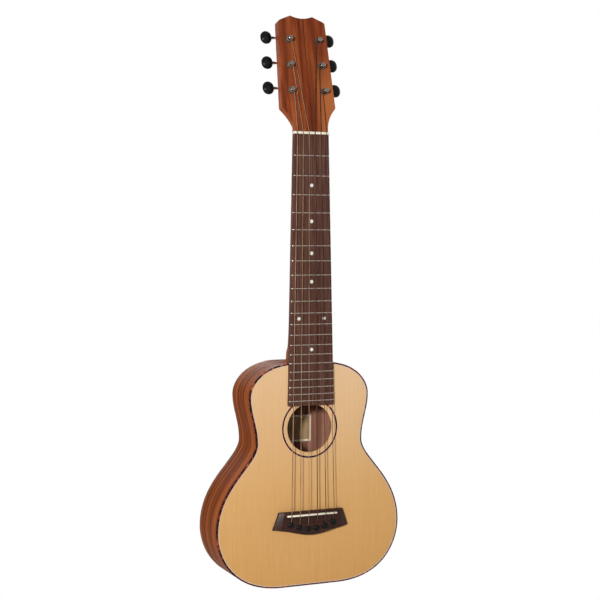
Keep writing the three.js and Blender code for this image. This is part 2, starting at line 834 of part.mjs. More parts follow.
// Bridge pins, each with a slot towards the saddle for its string
const pin_end = plate_inside - glue_gap;
for (const { number, pin } of strings) {
  const blank = turned([
    [0, bridge_front - pin_head_height],
    [half(pin_head_radius), bridge_front - pin_head_height * (1 - pin_crown_share)],
    [pin_head_radius, bridge_front - half(pin_head_height)],
    [pin_head_radius, bridge_front],
    [pin_shank_radius, bridge_front],
    [pin_tip_radius, pin_end],
    [0, pin_end],
  ]).translate(pin.x, 0, pin.z);
  const slot = box(
    [pin.x - half(pin_slot_width), -overrun, pin.z + pin_slot_start],
    [pin.x + half(pin_slot_width), overrun, pin.z + overrun],
  );
  add(`bridge_pin_${number}`, cut(blank, [slot]), black_plastic);
}

// Strings: ball end, pin hole, saddle, nut and the winding on the post, in one length
const headPoint = (x, depth, rise) => new THREE.Vector3(x, depth, rise).applyMatrix4(head.matrix);
const ballProfile = [
  [-ball_radius, ball_radius * ball_end_share],
  [-ball_radius * ball_shoulder_share, ball_radius],
  [ball_radius * ball_shoulder_share, ball_radius],
  [ball_radius, ball_radius * ball_end_share],
];
const windings = strings.map(({ number, diameter, nut_x, saddle_x, pin }, index) => {
  const { side, rise, x } = tuners[index];
  const inner = -side;
  const coil_radius = post_waist_radius + half(diameter) + winding_clearance;
  const nut_end = new THREE.Vector3(nut_x, -string_lift_at_nut - half(diameter), nut_thickness);
  const fromPost = head.worldToLocal(nut_end.clone()).sub(new THREE.Vector3(x, 0, rise));
  const reach = Math.hypot(fromPost.x, fromPost.z);
  const bearing = Math.atan2(fromPost.z, inner * fromPost.x);
  const first_angle = bearing + Math.acos(coil_radius / reach);
  const steps = Math.round(winding_turns * winding_steps_per_turn);
  const coil = [];
  for (let step = 0; step <= steps; step++) {
    const turn = step / winding_steps_per_turn;
    const angle = first_angle + 2 * Math.PI * turn;
    const height = winding_start_height + half(diameter) + turn * (diameter + winding_gap);
    const coil_x = x + inner * coil_radius * Math.cos(angle);
    coil.push(headPoint(coil_x, -height, rise + coil_radius * Math.sin(angle)));
  }
  const string_z = pin.z + string_in_pin_hole;
  const ball_middle = plate_inside + glue_gap + ball_radius;
  const ball = ballProfile.map(([along]) => new THREE.Vector3(pin.x, ball_middle - along, string_z));
  const above_bridge = new THREE.Vector3(pin.x, bridge_front - half(diameter) - running_gap, string_z);
  const on_saddle = new THREE.Vector3(saddle_x, -string_lift_at_saddle - half(diameter), -saddle_drop);
  const neckOfBall = new THREE.Vector3(pin.x, ball_middle - ball_radius - running_gap, string_z);
  const points = [...ball, neckOfBall, above_bridge, on_saddle, nut_end, ...coil];
  const radii = points.map((_, i) => (i < ball.length ? ballProfile[i][1] : half(diameter)));
  const wound = number > half(string_count);
  add(`string_${number}`, rod(points, radii), wound ? bronze : nylon);
  return { coil, diameter };
});

// The least gap of each winding to itself, measured on its points
for (const [index, { coil, diameter }] of windings.entries()) {
  let least = Infinity;
  const apart = Math.round(half(winding_steps_per_turn));
  coil.forEach((point, i) => coil.slice(i + apart).forEach((other) => {
    least = Math.min(least, point.distanceTo(other) - diameter);
  }));
  console.log(`string_${index + 1} least gap of the winding to itself ${least.toFixed(2)} mm`);
}

// Tuning machines
const gear_reach = tooth_module + wheel_pitch_radius - worm_clearance;
const gear_root = wheel_pitch_radius - tooth_module - 2 * worm_clearance;
const worm_tip = worm_pitch_radius + tooth_module - worm_clearance;
const worm_root = worm_pitch_radius - tooth_module - worm_clearance;
const lead_angle = Math.atan(worm_pitch / (2 * Math.PI * worm_pitch_radius));

// The toothed wheel, with a tooth gap facing the worm and teeth slanted to its thread
function wheelRing(depth) {
  const ring = [];
  const slant = -(depth - key_axis_depth) * Math.tan(lead_angle) / wheel_pitch_radius;
  const tooth_angle = 2 * Math.PI / wheel_teeth;
  for (let tooth = 0; tooth < wheel_teeth; tooth++) {
    for (const [share, radius] of [
      [-tooth_root_share, gear_root],
      [-tooth_tip_share, gear_reach],
      [tooth_tip_share, gear_reach],
      [tooth_root_share, gear_root],
    ]) {
      const angle = (tooth + half(1) + share) * tooth_angle + slant;
      ring.push(new THREE.Vector3(radius * Math.sin(angle), depth, radius * Math.cos(angle)));
    }
  }
  return ring;
}

function post(x, rise) {
  const wheel_front = key_axis_depth - half(wheel_width);
  const wheel_back = key_axis_depth + half(wheel_width);
  const stem = turned([
    [0, -post_height],
    [post_waist_radius, -post_height],
    [post_cap_radius, -post_height + post_cap_height * post_cap_bevel_share],
    [post_cap_radius, -post_height + half(post_cap_height)],
    [post_waist_radius, -post_height + post_cap_height],
    [post_waist_radius, -ferrule_flange_height],
    [post_radius, 0],
    [post_radius, wheel_back],
    [wheel_retainer_radius, wheel_back],
    [wheel_retainer_radius, wheel_back + wheel_retainer_height],
    [0, wheel_back + wheel_retainer_height],
  ]);
  const hole = new THREE.CylinderGeometry(post_hole_radius, post_hole_radius, 2 * overrun, small_sides);
  hole.rotateZ(Math.PI / 2).translate(0, -post_hole_height, 0);
  const wheel = loft([wheelRing(wheel_front), wheelRing(wheel_back)]);
  return cut(join([stem, wheel]), [hole]).translate(x, 0, rise);
}

// The worm's thread, right-handed about +X, with its crest in the wheel's tooth gap
function wormThread() {
  const rings = [];
  const turns = worm_length / worm_pitch;
  const steps = Math.round(turns * gear_steps_per_turn);
  for (let step = 0; step <= steps; step++) {
    const turn = turns * (step / steps - half(1));
    const angle = 2 * Math.PI * turn - Math.PI / 2;
    const middle = turn * worm_pitch;
    rings.push([
      [-tooth_root_share, worm_root - worm_clearance],
      [-tooth_tip_share, worm_tip],
      [tooth_tip_share, worm_tip],
      [tooth_root_share, worm_root - worm_clearance],
    ].map(([share, radius]) => new THREE.Vector3(
      middle + share * worm_pitch,
      radius * Math.cos(angle),
      radius * Math.sin(angle),
    )));
  }
  return loft(rings);
}

function key(side, x, rise) {
  const ear_outer = plate_half_width + running_gap;
  const turnedKey = turned([
    [0, -ear_outer - key_collar_length],
    [key_collar_radius, -ear_outer - key_collar_length],
    [key_collar_radius, -ear_outer],
    [key_shaft_radius, -ear_outer],
    [key_shaft_radius, ear_outer],
    [key_collar_radius, ear_outer],
    [key_collar_radius, ear_outer + key_collar_length],
    [key_shaft_radius, ear_outer + key_collar_length],
    [key_shaft_radius, button_gap + key_shaft_radius],
    [0, button_gap + key_shaft_radius],
  ]);
  const button = turned(button_profile_shares.map(([radius, along]) => [
    radius * half(button_height),
    button_gap + along * button_length,
  ]), button_sides);
  button.scale(button_thickness / button_height, 1, 1);
  const length = join([turnedKey, button]).rotateZ(-side * Math.PI / 2);
  return join([length, wormThread()]).translate(x, key_axis_depth, rise + worm_offset);
}

function tunerPlate(x, rise) {
  const low = -plate_below_post;
  const high = worm_offset + plate_above_worm;
  const near = head_thickness + glue_gap;
  const baseShape = rectangle(-plate_half_width, plate_half_width, low, high);
  const base = slab(baseShape, near, near + plate_thickness);
  const ear_near = near + half(plate_thickness);
  const ear = (left) => box(
    [left, ear_near, worm_offset - half(ear_height)],
    [left + ear_thickness, key_axis_depth + ear_rise, worm_offset + half(ear_height)],
  );
  const ears = [ear(-plate_half_width), ear(plate_half_width - ear_thickness)];
  const post_bore = slab(disc(0, 0, boreAround(post_radius)), -overrun, overrun, small_sides);
  const bore_radius = boreAround(key_shaft_radius);
  const shaft_bore = new THREE.CylinderGeometry(bore_radius, bore_radius, 2 * overrun, small_sides);
  shaft_bore.rotateZ(Math.PI / 2).translate(0, key_axis_depth, worm_offset);
  const screw_edge = 2 * screw_hole_radius;
  const screws = [low + screw_edge, high - screw_edge].map((z) => slab(
    disc(0, z, screw_hole_radius),
    -overrun,
    overrun,
    small_sides,
  ));
  const bored = cut(join([base, ...ears]), [post_bore, shaft_bore, ...screws]);
  return bored.translate(x, 0, rise);
}

for (const { number, side, rise, x } of tuners) {
  const ferrule = turned([
    [ferrule_bore_radius, -ferrule_flange_height - glue_gap],
    [ferrule_flange_radius - glue_gap, -ferrule_flange_height - glue_gap],
    [ferrule_flange_radius, -glue_gap],
    [ferrule_barrel_radius, -glue_gap],
    [ferrule_barrel_radius, ferrule_barrel_length],
    [ferrule_bore_radius, ferrule_barrel_length],
    [ferrule_bore_radius, -ferrule_flange_height - glue_gap],
  ]).translate(x, 0, rise);
  add(`ferrule_${number}`, ferrule, chrome, head);
  add(`tuner_plate_${number}`, tunerPlate(x, rise), chrome, head);
  add(`tuner_key_${number}`, key(side, x, rise), black_plastic, head);
  add(`tuner_post_${number}`, post(x, rise), chrome, head);
}

export default part;
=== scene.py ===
"""Looks of the guitalele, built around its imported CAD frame. Sizes are in millimetres, objects in metres.

In tree work a node's kind is its type's name without ShaderNode, and colours are screen tones (r, g, b).
"""

from math import acos, atan, atan2, copysign, cos, hypot, pi, radians, sin, sqrt, tan

import bmesh
import bpy
import numpy as np
from mathutils import Matrix, Vector


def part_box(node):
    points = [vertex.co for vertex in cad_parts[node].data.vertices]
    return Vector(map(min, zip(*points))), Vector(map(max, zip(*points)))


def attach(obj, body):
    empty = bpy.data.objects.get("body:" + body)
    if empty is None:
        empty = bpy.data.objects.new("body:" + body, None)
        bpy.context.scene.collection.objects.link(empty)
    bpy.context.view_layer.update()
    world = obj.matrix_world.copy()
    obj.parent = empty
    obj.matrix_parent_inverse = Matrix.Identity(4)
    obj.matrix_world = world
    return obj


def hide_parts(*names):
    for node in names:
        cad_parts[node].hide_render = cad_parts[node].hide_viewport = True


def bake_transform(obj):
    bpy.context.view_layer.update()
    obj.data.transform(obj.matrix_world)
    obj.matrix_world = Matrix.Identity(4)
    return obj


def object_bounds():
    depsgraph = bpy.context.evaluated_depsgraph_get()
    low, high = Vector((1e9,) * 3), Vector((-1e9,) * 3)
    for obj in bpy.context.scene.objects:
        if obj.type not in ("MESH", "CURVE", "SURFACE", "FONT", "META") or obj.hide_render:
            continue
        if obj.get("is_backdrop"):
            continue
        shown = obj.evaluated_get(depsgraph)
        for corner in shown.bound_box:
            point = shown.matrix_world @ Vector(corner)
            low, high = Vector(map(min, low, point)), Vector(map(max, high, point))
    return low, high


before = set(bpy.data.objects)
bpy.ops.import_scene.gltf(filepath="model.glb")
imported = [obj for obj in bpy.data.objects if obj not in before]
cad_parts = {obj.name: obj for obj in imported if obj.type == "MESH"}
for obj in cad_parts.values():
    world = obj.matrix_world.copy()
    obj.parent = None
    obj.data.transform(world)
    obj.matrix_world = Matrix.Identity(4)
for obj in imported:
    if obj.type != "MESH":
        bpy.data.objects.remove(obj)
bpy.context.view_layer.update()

MM = 0.001
scene = bpy.context.scene

# Strings and frets
SCALE = 433.0
FRETS = 21
NUT_SPREAD = 36.2
SADDLE_SPREAD = 53.2
LIFT_AT_NUT = 0.4
LIFT_AT_SADDLE = 3.4
SADDLE_SETBACK = 2.6
DIAMETERS = [0.7, 0.82, 1.0, 0.75, 0.85, 1.05]
PLAIN_STRINGS, ROD_SIDES = 3, 14
WINDINGS, WINDING_STEPS = 2.2, 28
WINDING_GAP, WINDING_HEIGHT = 0.12, 1.75
POST_WAIST = 2.4
BALL_RADIUS, BALL_GAP = 1.9, 0.2
BLEND_FROM, BLEND_TO = -2.9, -4.4

# Body
BODY_LENGTH = 258.0
UPPER_BOUT, UPPER_DROP = 148.6, 38.1
WAIST, WAIST_DROP = 131.8, 91.0
LOWER_BOUT, LOWER_DROP = 228.0, 190.1
SHOULDER_FLAT, TAIL_FLAT = 41.0, 68.0
PULLS = [(0.641, 0.477), (0.352, 0.397), (0.23, 0.536), (0.318, 0.826)]
OUTLINE_STEPS = 150
TOP_FACE = 5.8
TOP_THICKNESS = 2.6
BACK_THICKNESS = 2.4
SIDE_THICKNESS = 2.0
DEPTH_AT_NECK, DEPTH_AT_TAIL = 56.0, 61.1
BINDING_WIDTH, BINDING_HEIGHT = 1.8, 3.0
EDGE_ROUND = 0.7
PURFLING_WIDTH, PURFLING_DEPTH = 0.8, 1.0
HOLE_DROP, HOLE_RADIUS, HOLE_ROUND, HOLE_SIDES = 75.2, 28.0, 0.5, 160
ROSETTE_INNER, ROSETTE_OUTER, ROSETTE_DEPTH = 32.3, 35.1, 1.0
ROSETTE_LINE = 0.4
INLAY_RISE, LINE_RISE = 0.02, 0.01
SEAM_STARTS, SEAM_WIDTH, SEAM_DEPTH, SEAM_SUNK = (-0.9, 0.5), 0.4, 0.25, 0.2
BRIDGE_PLATE_THICKNESS = 2.0

# Neck, board, nut and head
NUT_WIDTH, NUT_THICKNESS, NUT_RISE = 42.8, 3.0, 1.0
SLOT_MARGIN, SLOT_LIP, SLOT_SPARE = 0.12, 0.25, 0.05
BOARD_END_WIDTH, BOARD_END_MARGIN = 56.1, 5.7
BOARD_FRONT, BOARD_ROUND, BOARD_CORNER = 1.0, 0.4, 0.8
FRET_WIDTH, FRET_RISE, FRET_SUNK = 1.6, 1.08, 0.1
DOTS = [(3, [0]), (5, [0]), (7, [0]), (9, [0]), (12, [-15.7, 15.7]), (15, [0])]
NECK_SIDES = 40
NECK_DEPTH_AT_NUT, NECK_DEPTH_AT_HEEL = 14.0, 16.0
VOLUTE_LENGTH = 34.0
VOLUTE_SHARES = [0.985, 0.95, 0.9, 0.83, 0.75, 0.66, 0.57, 0.48, 0.39, 0.3, 0.2, 0.1, 0.04]
NECK_ROUND, HEEL_ROUND = 1.2, 0.75
HEEL_REACH, HEEL_CAP_LENGTH, HEEL_CAP_WIDTH, HEEL_CAP_THICKNESS = 46.0, 16.0, 14.0, 2.5
HEEL_STEPS, HEEL_CORNER, HEEL_NARROWING = 40, 0.42, 1.1
HEEL_START_PULL, HEEL_END_PULL = (0.6, -19), (39, 18.5)
TILT = radians(12.5)
HEAD_FACE_DROP = 1.2
HEAD_THICKNESS, VENEER = 11.8, 1.6
HEAD_NECK_WIDTH, HEAD_GAP = 42.2, 0.2
THROAT_WIDTH, THROAT_RISE, THROAT_STEPS = 42.8, 19.5, 15
SHOULDER_WIDTH, SHOULDER_RISE, SHOULDER_ROUND = 66.2, 31.6, 1.4
CROWN_WIDTH, CROWN_RISE, CROWN_ROUND = 58.0, 134.9, 2.2
PEAK_WIDTH, PEAK_RISE, PEAK_ROUND = 27.6, 141.5, 0.7
SCOOP_RISE, SCOOP_STEPS = 138.6, 8
THROAT_CARVING = 0.2

# Bridge, saddle and pins
BRIDGE_TOP_DROP = 170.5
BRIDGE_TOP_WIDTH, BRIDGE_TIP_WIDTH, BRIDGE_TIP_HEIGHT = 78.8, 94.4, 19.8
BRIDGE_BELLY_HEIGHT, BELLY_STEPS = 27.3, 56
BRIDGE_THICKNESS, BRIDGE_TIP_THICKNESS = 6.5, 2.0
BEVEL_TOP, BEVEL_TIP = 5.0, 8.5
RIM_ANGLE, RIM_ROUND, UPRIGHT = radians(12), 0.45, 1.5
SADDLE_LENGTH, SADDLE_THICKNESS, SADDLE_SLOT = 62.3, 2.0, 3.5
PIN_SETBACK, PIN_BOW, PIN_HEAD, PIN_HEIGHT, PIN_DOME = 10.5, 5.9, 3.6, 2.5, 1.7
SADDLE_CROWN = [(-1, 0.9), (-0.92, 0.5), (-0.6, 0.18), (0, 0.0), (0.6, 0.12), (0.92, 0.38), (1, 0.75)]
STRING_IN_HOLE = 1.75

# Tuning machines
POST_RISE, POST_PITCH, POST_EDGE = 51.2, 30.4, 11.7
HEAD_BORE, PLATE_BORE, SCREW_BORE, EAR_BORE = 3.75, 2.75, 0.9, 1.5
POST_HOLE_RADIUS, POST_HOLE_DEPTH = 0.8, -5.2
WHEEL_TEETH, TOOTH_MODULE, WHEEL_WIDTH, TOOTH_STEPS = 18, 0.6, 3.2, 16
WORM_RADIUS, WORM_HALF, WORM_STEPS, WORM_SIDES = 1.8, 3.25, 72, 32
WHEEL_RADIUS = WHEEL_TEETH * TOOTH_MODULE / 2
WORM_OFFSET = WHEEL_RADIUS + WORM_RADIUS
WORM_PITCH = pi * TOOTH_MODULE
TOOTH_GAP = 0.12
KEY_DEPTH = HEAD_THICKNESS + 4.3
SHAFT_RADIUS, COLLAR_RADIUS = 1.25, 1.9
BUTTON_GAP, BUTTON_LENGTH, BUTTON_HEIGHT, BUTTON_THICKNESS = 14.2, 13.9, 15.3, 7.5
PLATE_HALF, PLATE_BELOW, PLATE_ABOVE, PLATE_THICKNESS = 5.9, 9.0, 6.0, 1.2
EAR_THICKNESS, EAR_HALF, EAR_REACH, EAR_ROUND = 1.2, 2.8, 2.4, 1.9
SCREW_EDGE = 2

# Floor, lamps and camera, in metres unless an angle
FLOOR_Z, FLOOR_HALF = -0.9, 60
SHADOW_NEAR, SHADOW_FAR = 1.0, 1.4
FLOOR_TONE, FLOOR_GLOW = 0.6, 0.85
SOFT_LIGHT, WHITE_LIGHT = 0.14, 1.0
LAMP_AIM = Vector((0, 0, -0.2))


# Helpers for numbers and places
def lerp(a, b, share):
    return a + (b - a) * share


def smooth(t):
    t = min(max(t, 0.0), 1.0)
    return t * t * (3 - 2 * t)


def shares(count):
    return [k / count for k in range(count + 1)]


def turns(sides):
    return [2 * pi * i / sides for i in range(sides)]


def bend(a, b, c, places):
    """Points of a curve from a to c that is drawn towards b."""
    return [(1 - t) ** 2 * a + 2 * (1 - t) * t * b + t * t * c for t in places]


def fret_drop(n):
    return SCALE * (1 - 2 ** (-n / 12))


# Places worked out from the sizes
BODY_TOP = -fret_drop(16)
BODY_TAIL = BODY_TOP - BODY_LENGTH
BOARD_LENGTH = fret_drop(FRETS) + BOARD_END_MARGIN
HOLE_Z = BODY_TOP - HOLE_DROP
SADDLE_Z = -(SCALE + SADDLE_SETBACK)
BRIDGE_TOP = BODY_TOP - BRIDGE_TOP_DROP
BRIDGE_FRONT = TOP_FACE - BRIDGE_THICKNESS
TOP_INSIDE = TOP_FACE + TOP_THICKNESS
TOP_INSET = BINDING_WIDTH + PURFLING_WIDTH


def back_outside(z):
    return TOP_FACE + lerp(DEPTH_AT_NECK, DEPTH_AT_TAIL, (BODY_TOP - z) / BODY_LENGTH)


def before_back(gap):
    """The depth that lies a gap in front of the back's outside, as a function of Z."""
    return lambda z: back_outside(z) - gap


def board_width(drop):
    return lerp(NUT_WIDTH, BOARD_END_WIDTH, drop / BOARD_LENGTH)


def head_point(x, depth, rise):
    y = HEAD_FACE_DROP + depth * cos(TILT) + rise * sin(TILT)
    z = -depth * sin(TILT) + rise * cos(TILT)
    return (x, y, z)


def carved_head_point(x, depth, rise):
    """A point of the head's wood, which narrows behind the throat."""
    behind = (depth - VENEER) / (HEAD_THICKNESS - VENEER)
    inward = THROAT_CARVING * smooth((SHOULDER_RISE - rise) / SHOULDER_RISE) * behind
    return head_point(x * (1 - inward), depth, rise)


# ---- materials

def tone(r, g, b):
    """A colour as it is read off a screen, from 0 to 255, as linear light."""
    def linear(c):
        c /= 255
        return c / 12.92 if c <= 0.04045 else ((c + 0.055) / 1.055) ** 2.4
    return (linear(r), linear(g), linear(b), 1.0)


class Nodes:
    """The nodes of a material or world, with short calls to make and join them."""

    def __init__(self, owner):
        owner.use_nodes = True
        self.tree = owner.node_tree
        self.tree.nodes.clear()

    def feed(self, node, values):
        for key, value in values.items():
            if isinstance(value, bpy.types.NodeSocket):
                self.tree.links.new(value, node.inputs[key])
            else:
                node.inputs[key].default_value = value

    def node(self, kind, feeds=None, **values):
        """A new shader node of a kind, with its own values set and its inputs fed."""
        made = self.tree.nodes.new("ShaderNode" + kind)
        for key, value in values.items():
            setattr(made, key, value)
        self.feed(made, feeds or {})
        return made

    def math(self, operation, *values):
        return self.node("Math", dict(enumerate(values)), operation=operation).outputs[0]

    def span(self, value, low, high, to_low=0.0, to_high=1.0):
        feeds = {0: value, 1: low, 2: high, 3: to_low, 4: to_high}
        return self.node("MapRange", feeds).outputs[0]

    def seen_rays(self):
        """1 for rays that look straight at, or by way of metal or glass."""
        path = self.node("LightPath").outputs
        total = path["Is Camera Ray"]
        for name in ("Is Glossy Ray", "Is Transmission Ray"):
            feeds = {0: total, 1: path[name]}
            total = self.node("Math", feeds, operation="ADD", use_clamp=True).outputs[0]
        return total

    def output(self, kind, share, near, far):
        """End in the output, with one shader or the other by the share."""
        both = self.node("MixShader", {0: share, 1: near.outputs[0], 2: far.outputs[0]})
        self.node(kind, {0: both.outputs[0]})


class Finish(Nodes):
    """A material whose texture keeps its place on the object."""

    def __init__(self, name):
        self.material = bpy.data.materials.new(name)
        super().__init__(self.material)
        self.shader = self.node("BsdfPrincipled")
        self.node("OutputMaterial", {0: self.shader.outputs[0]})
        self.place = self.node("TexCoord").outputs["Object"]

    def surface(self, colour, roughness, shine=0.5, **more):
        """Set the shader's inputs and give the material."""
        values = {"Base Color": colour, "Roughness": roughness, "Specular IOR Level": shine}
        values.update({key.replace("_", " ").title(): value for key, value in more.items()})
        self.feed(self.shader, values)
        return self.material

    def stretched(self, scale):
        scale = scale if isinstance(scale, tuple) else (scale, scale, scale)
        return self.node("Mapping", {"Vector": self.place, "Scale": scale}).outputs[0]

    def mirror(self):
        """Make both halves of the object alike."""
        both = {"X": self.math("ABSOLUTE", self.axis(0)), "Y": self.axis(1), "Z": self.axis(2)}
        self.place = self.node("CombineXYZ", both).outputs[0]

    def noise(self, scale, detail=3, roughness=0.6, distortion=0.0):
        feeds = {"Vector": self.stretched(scale), "Scale": 1.0, "Detail": detail}
        feeds.update({"Roughness": roughness, "Distortion": distortion})
        return self.node("TexNoise", feeds).outputs["Fac"]

    def bands(self, stretch, scale, distortion, detail, detail_scale, direction="X"):
        feeds = {"Vector": self.stretched(stretch), "Scale": scale, "Distortion": distortion}
        feeds.update({"Detail": detail, "Detail Scale": detail_scale})
        return self.node("TexWave", feeds, bands_direction=direction).outputs["Fac"]

    def ramp(self, factor, stops):
        made = self.node("ValToRGB", {"Fac": factor})
        while len(made.color_ramp.elements) < len(stops):
            made.color_ramp.elements.new(0.5)
        for element, (position, colour) in zip(made.color_ramp.elements, stops):
            element.position = position
            element.color = tone(*colour)
        return made.outputs[0]

    def shades(self, factor, *tones):
        """Even steps from tone to tone over the middle of the factor."""
        return self.ramp(self.span(factor, 0.3, 0.7), list(zip(shares(len(tones) - 1), tones)))

    def mix(self, factor, a, b):
        """Two colours by a factor; each is a socket, a screen tone (r, g, b) or linear light (r, g, b, a)."""
        a, b = (tone(*c) if isinstance(c, tuple) and len(c) == 3 else c for c in (a, b))
        return self.node("Mix", {0: factor, 6: a, 7: b}, data_type="RGBA").outputs[2]

    def stain(self, base, colour, mask, low, high, amount):
        """Lay a colour over the base as the mask goes from low to high."""
        return self.mix(self.span(mask, low, high, 0.0, amount), base, colour)

    def bump(self, height, strength, distance):
        made = self.node("Bump", {"Height": height, "Strength": strength, "Distance": distance})
        self.feed(self.shader, {"Normal": made.outputs[0]})

    def axis(self, index):
        return self.node("SeparateXYZ", {"Vector": self.place}).outputs[index]

    def away(self, value, middle):
        return self.math("ABSOLUTE", self.math("SUBTRACT", value, middle))


def spruce_finish():
    f = Finish("spruce_top")
    lines = f.bands((1, 0.15, 0.012), 190, 3.0, 3.0, 0.35)
    fibre = f.noise((1500, 600, 22), 4, 0.7)
    silk = f.noise((60, 60, 900), 2, 0.5)
    cloud = f.noise((7, 7, 2.5), 2, 0.5)
    # Darker and more golden towards the tail, paler towards the neck: partly the top's own tone, partly
    # painted shade of the key light falling off down the body.
    colour = f.ramp(f.span(f.axis(2), -0.52, -0.26), [
        (0.0, (196, 143, 78)), (0.4, (208, 160, 100)), (1.0, (228, 194, 154)),
    ])
    line = f.math("MULTIPLY", f.math("POWER", lines, 5.0), 0.34)
    colour = f.mix(line, colour, (176, 122, 64))
    colour = f.stain(colour, (238, 204, 152), fibre, 0.35, 0.75, 0.22)
    colour = f.stain(colour, (200, 146, 84), cloud, 0.3, 0.75, 0.25)
    colour = f.stain(colour, (246, 220, 176), silk, 0.45, 0.8, 0.03)
    f.bump(lines, 0.12, 0.0002)
    return f.surface(colour, f.span(fibre, 0, 1, 0.4, 0.55), 0.15)


def figured_finish(name, tones, width, places=(0, 0.35, 0.6, 1), layered=False, streak=0.5,
                   both=False, rough=0.34, shine=0.005, line=0.5, marks=None):
    """A striped wood, whose streaks run along Z, or if layered depend on the depth alone."""
    f = Finish(name)
    if both:
        f.mirror()
    if layered:
        broad, fine, pore = (3.2, 1 / width, 3.2), (14, 8 / width, 14), (70, 2400, 70)
    else:
        broad, fine = (1 / width, 0.3 / width, 1.3), (8 / width, 3 / width, 9)
        pore = (2600, 1400, 80)
    stripes = f.noise(broad, 3, 0.62, 0.35)
    lines = f.noise(fine, 4, 0.6, 0.2)
    pores = f.noise(pore, 2)
    cloud = f.noise(9, 2, 0.5)
    base = f.ramp(f.span(stripes, 0.26, 0.74), list(zip(places, tones)))
    base = f.stain(base, tones[0], lines, 0.52, 0.72, line)
    base = f.stain(base, tones[-1], cloud, 0.35, 0.75, streak * 0.5)
    base = f.stain(base, tones[0], pores, 0.6, 0.72, 0.55)
    if marks:
        base = marks(f, base)
    f.bump(pores, 0.12, 0.0002)
    return f.surface(base, f.span(lines, 0.2, 0.8, rough + 0.08, rough), shine)


def head_marks(f, base):
    """Two dark stripes down the head's face, and paler wood low on its treble side."""
    waver = f.noise((1, 1, 24), 2, 0.5)
    across = f.math("ADD", f.axis(0), f.math("MULTIPLY", waver, 0.0016))
    for middle, half, depth in ((0.0023, 0.0009, 0.7), (-0.0042, 0.0022, 0.4)):
        stripe = f.span(f.away(across, middle), half * 0.4, half, depth, 0.0)
        base = f.mix(stripe, base, (62, 24, 13))
    low = f.math("MULTIPLY", f.span(f.axis(0), 0.006, 0.018), f.span(f.axis(2), 0.095, 0.045))
    return f.mix(f.math("MULTIPLY", low, 0.75), base, (184, 108, 60))


def mahogany_finish():
    f = Finish("mahogany_neck")
    ribbon = f.noise((70, 40, 5), 3, 0.55, 0.4)
    pores = f.noise((1500, 1200, 55))
    base = f.shades(ribbon, (132, 62, 34), (158, 80, 46), (178, 98, 60))
    base = f.stain(base, (82, 34, 20), pores, 0.58, 0.7, 0.45)
    f.bump(pores, 0.15, 0.0002)
    return f.surface(base, 0.4, 0.005)


def rosewood_finish(name, along, light, dark, mid, shine=0.08, rough=0.42):
    f = Finish(name)
    long, short = (520, 200, 16), (2200, 900, 60)
    if along == "X":
        long, short = long[::-1], short[::-1]
    streak = f.noise(long, 3, 0.6, 0.3)
    pores = f.noise(short)
    broad = f.noise(tuple(v * 0.12 for v in long), 2, 0.5)
    base = f.shades(streak, dark, mid, light)
    base = f.stain(base, mid, broad, 0.4, 0.7, 0.5)
    base = f.stain(base, (30, 18, 16), pores, 0.58, 0.7, 0.6)
    f.bump(pores, 0.25, 0.00025)
    return f.surface(base, f.span(pores, 0.3, 0.7, rough, rough + 0.2), shine)


def even_finish(name, noise, tones, roughness, relief=0, **more):
    f = Finish(name)
    grain = f.noise(*noise)
    if relief:
        f.bump(grain, relief, 0.0003)
    return f.surface(f.shades(grain, *tones), roughness, **more)


def tortoise_finish():
    f = Finish("tortoise_shell")
    patches = f.noise(150, 2, 0.55, 1.2)
    cells = f.noise(420, 2, 0.5)
    both = f.math("ADD", f.math("MULTIPLY", patches, 0.75), f.math("MULTIPLY", cells, 0.25))
    base = f.ramp(both, [
        (0.38, (20, 10, 9)), (0.47, (52, 20, 17)), (0.55, (106, 40, 32)),
        (0.62, (152, 66, 38)), (0.69, (216, 136, 62)),
    ])
    return f.surface(base, f.span(cells, 0.3, 0.7, 0.16, 0.26), 0.01)


def bone_finish():
    f = Finish("bone")
    base = f.shades(f.noise(160), (222, 212, 190), (242, 236, 220))
    base = f.stain(base, (196, 180, 150), f.noise((900, 2400, 900), 2), 0.6, 0.75, 0.25)
    return f.surface(base, 0.4, subsurface_weight=0.08, subsurface_scale=0.001)


def metal_finish(name, colour, smoothest, roughest):
    f = Finish(name)
    wear = f.noise(500, 4)
    base = f.stain(colour, tuple(c * 0.7 for c in colour[:3]) + (1,), wear, 0.55, 0.75, 0.2)
    return f.surface(base, f.span(wear, 0.3, 0.75, smoothest, roughest), metallic=1.0)


def plastic_finish():
    f = Finish("black_plastic")
    grain = f.noise(1400)
    base = f.shades(f.noise(160, 2, 0.5), (9, 9, 11), (20, 20, 23))
    f.bump(grain, 0.05, 0.0001)
    return f.surface(base, f.span(grain, 0.3, 0.7, 0.18, 0.28), 0.1)


def string_finish(name, dark, light, rough, shine, metallic=0.0):
    f = Finish(name)
    age = f.noise((300, 300, 40))
    if metallic:
        f.bump(f.bands(1, 1100, 0.0, 0.0, 1.0, "Z"), 0.5, 0.00008)
    roughness = f.span(age, 0.3, 0.7, rough, rough + 0.12)
    return f.surface(f.shades(age, dark, light), roughness, shine, metallic=metallic)


def paper_finish():
    f = Finish("label_paper")
    stain = f.span(f.noise(60, 2, 0.5), 0.3, 0.7)
    # The paper's tones are its own cream, set darker as painted shade for the inside of the body.
    base = f.mix(stain, (180, 148, 110), (160, 128, 90))
    low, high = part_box("inside_label")
    rims = []
    for k in (0, 2):
        half = (high[k] - low[k]) / 2
        rims.append(f.span(f.away(f.axis(k), (low[k] + high[k]) / 2), half - 0.0026, half - 0.0022))
    base = f.mix(f.math("MAXIMUM", *rims), base, (240, 228, 196))
    f.bump(f.noise(1200, 4, 0.7), 0.2, 0.0001)
    return f.surface(base, 0.9)


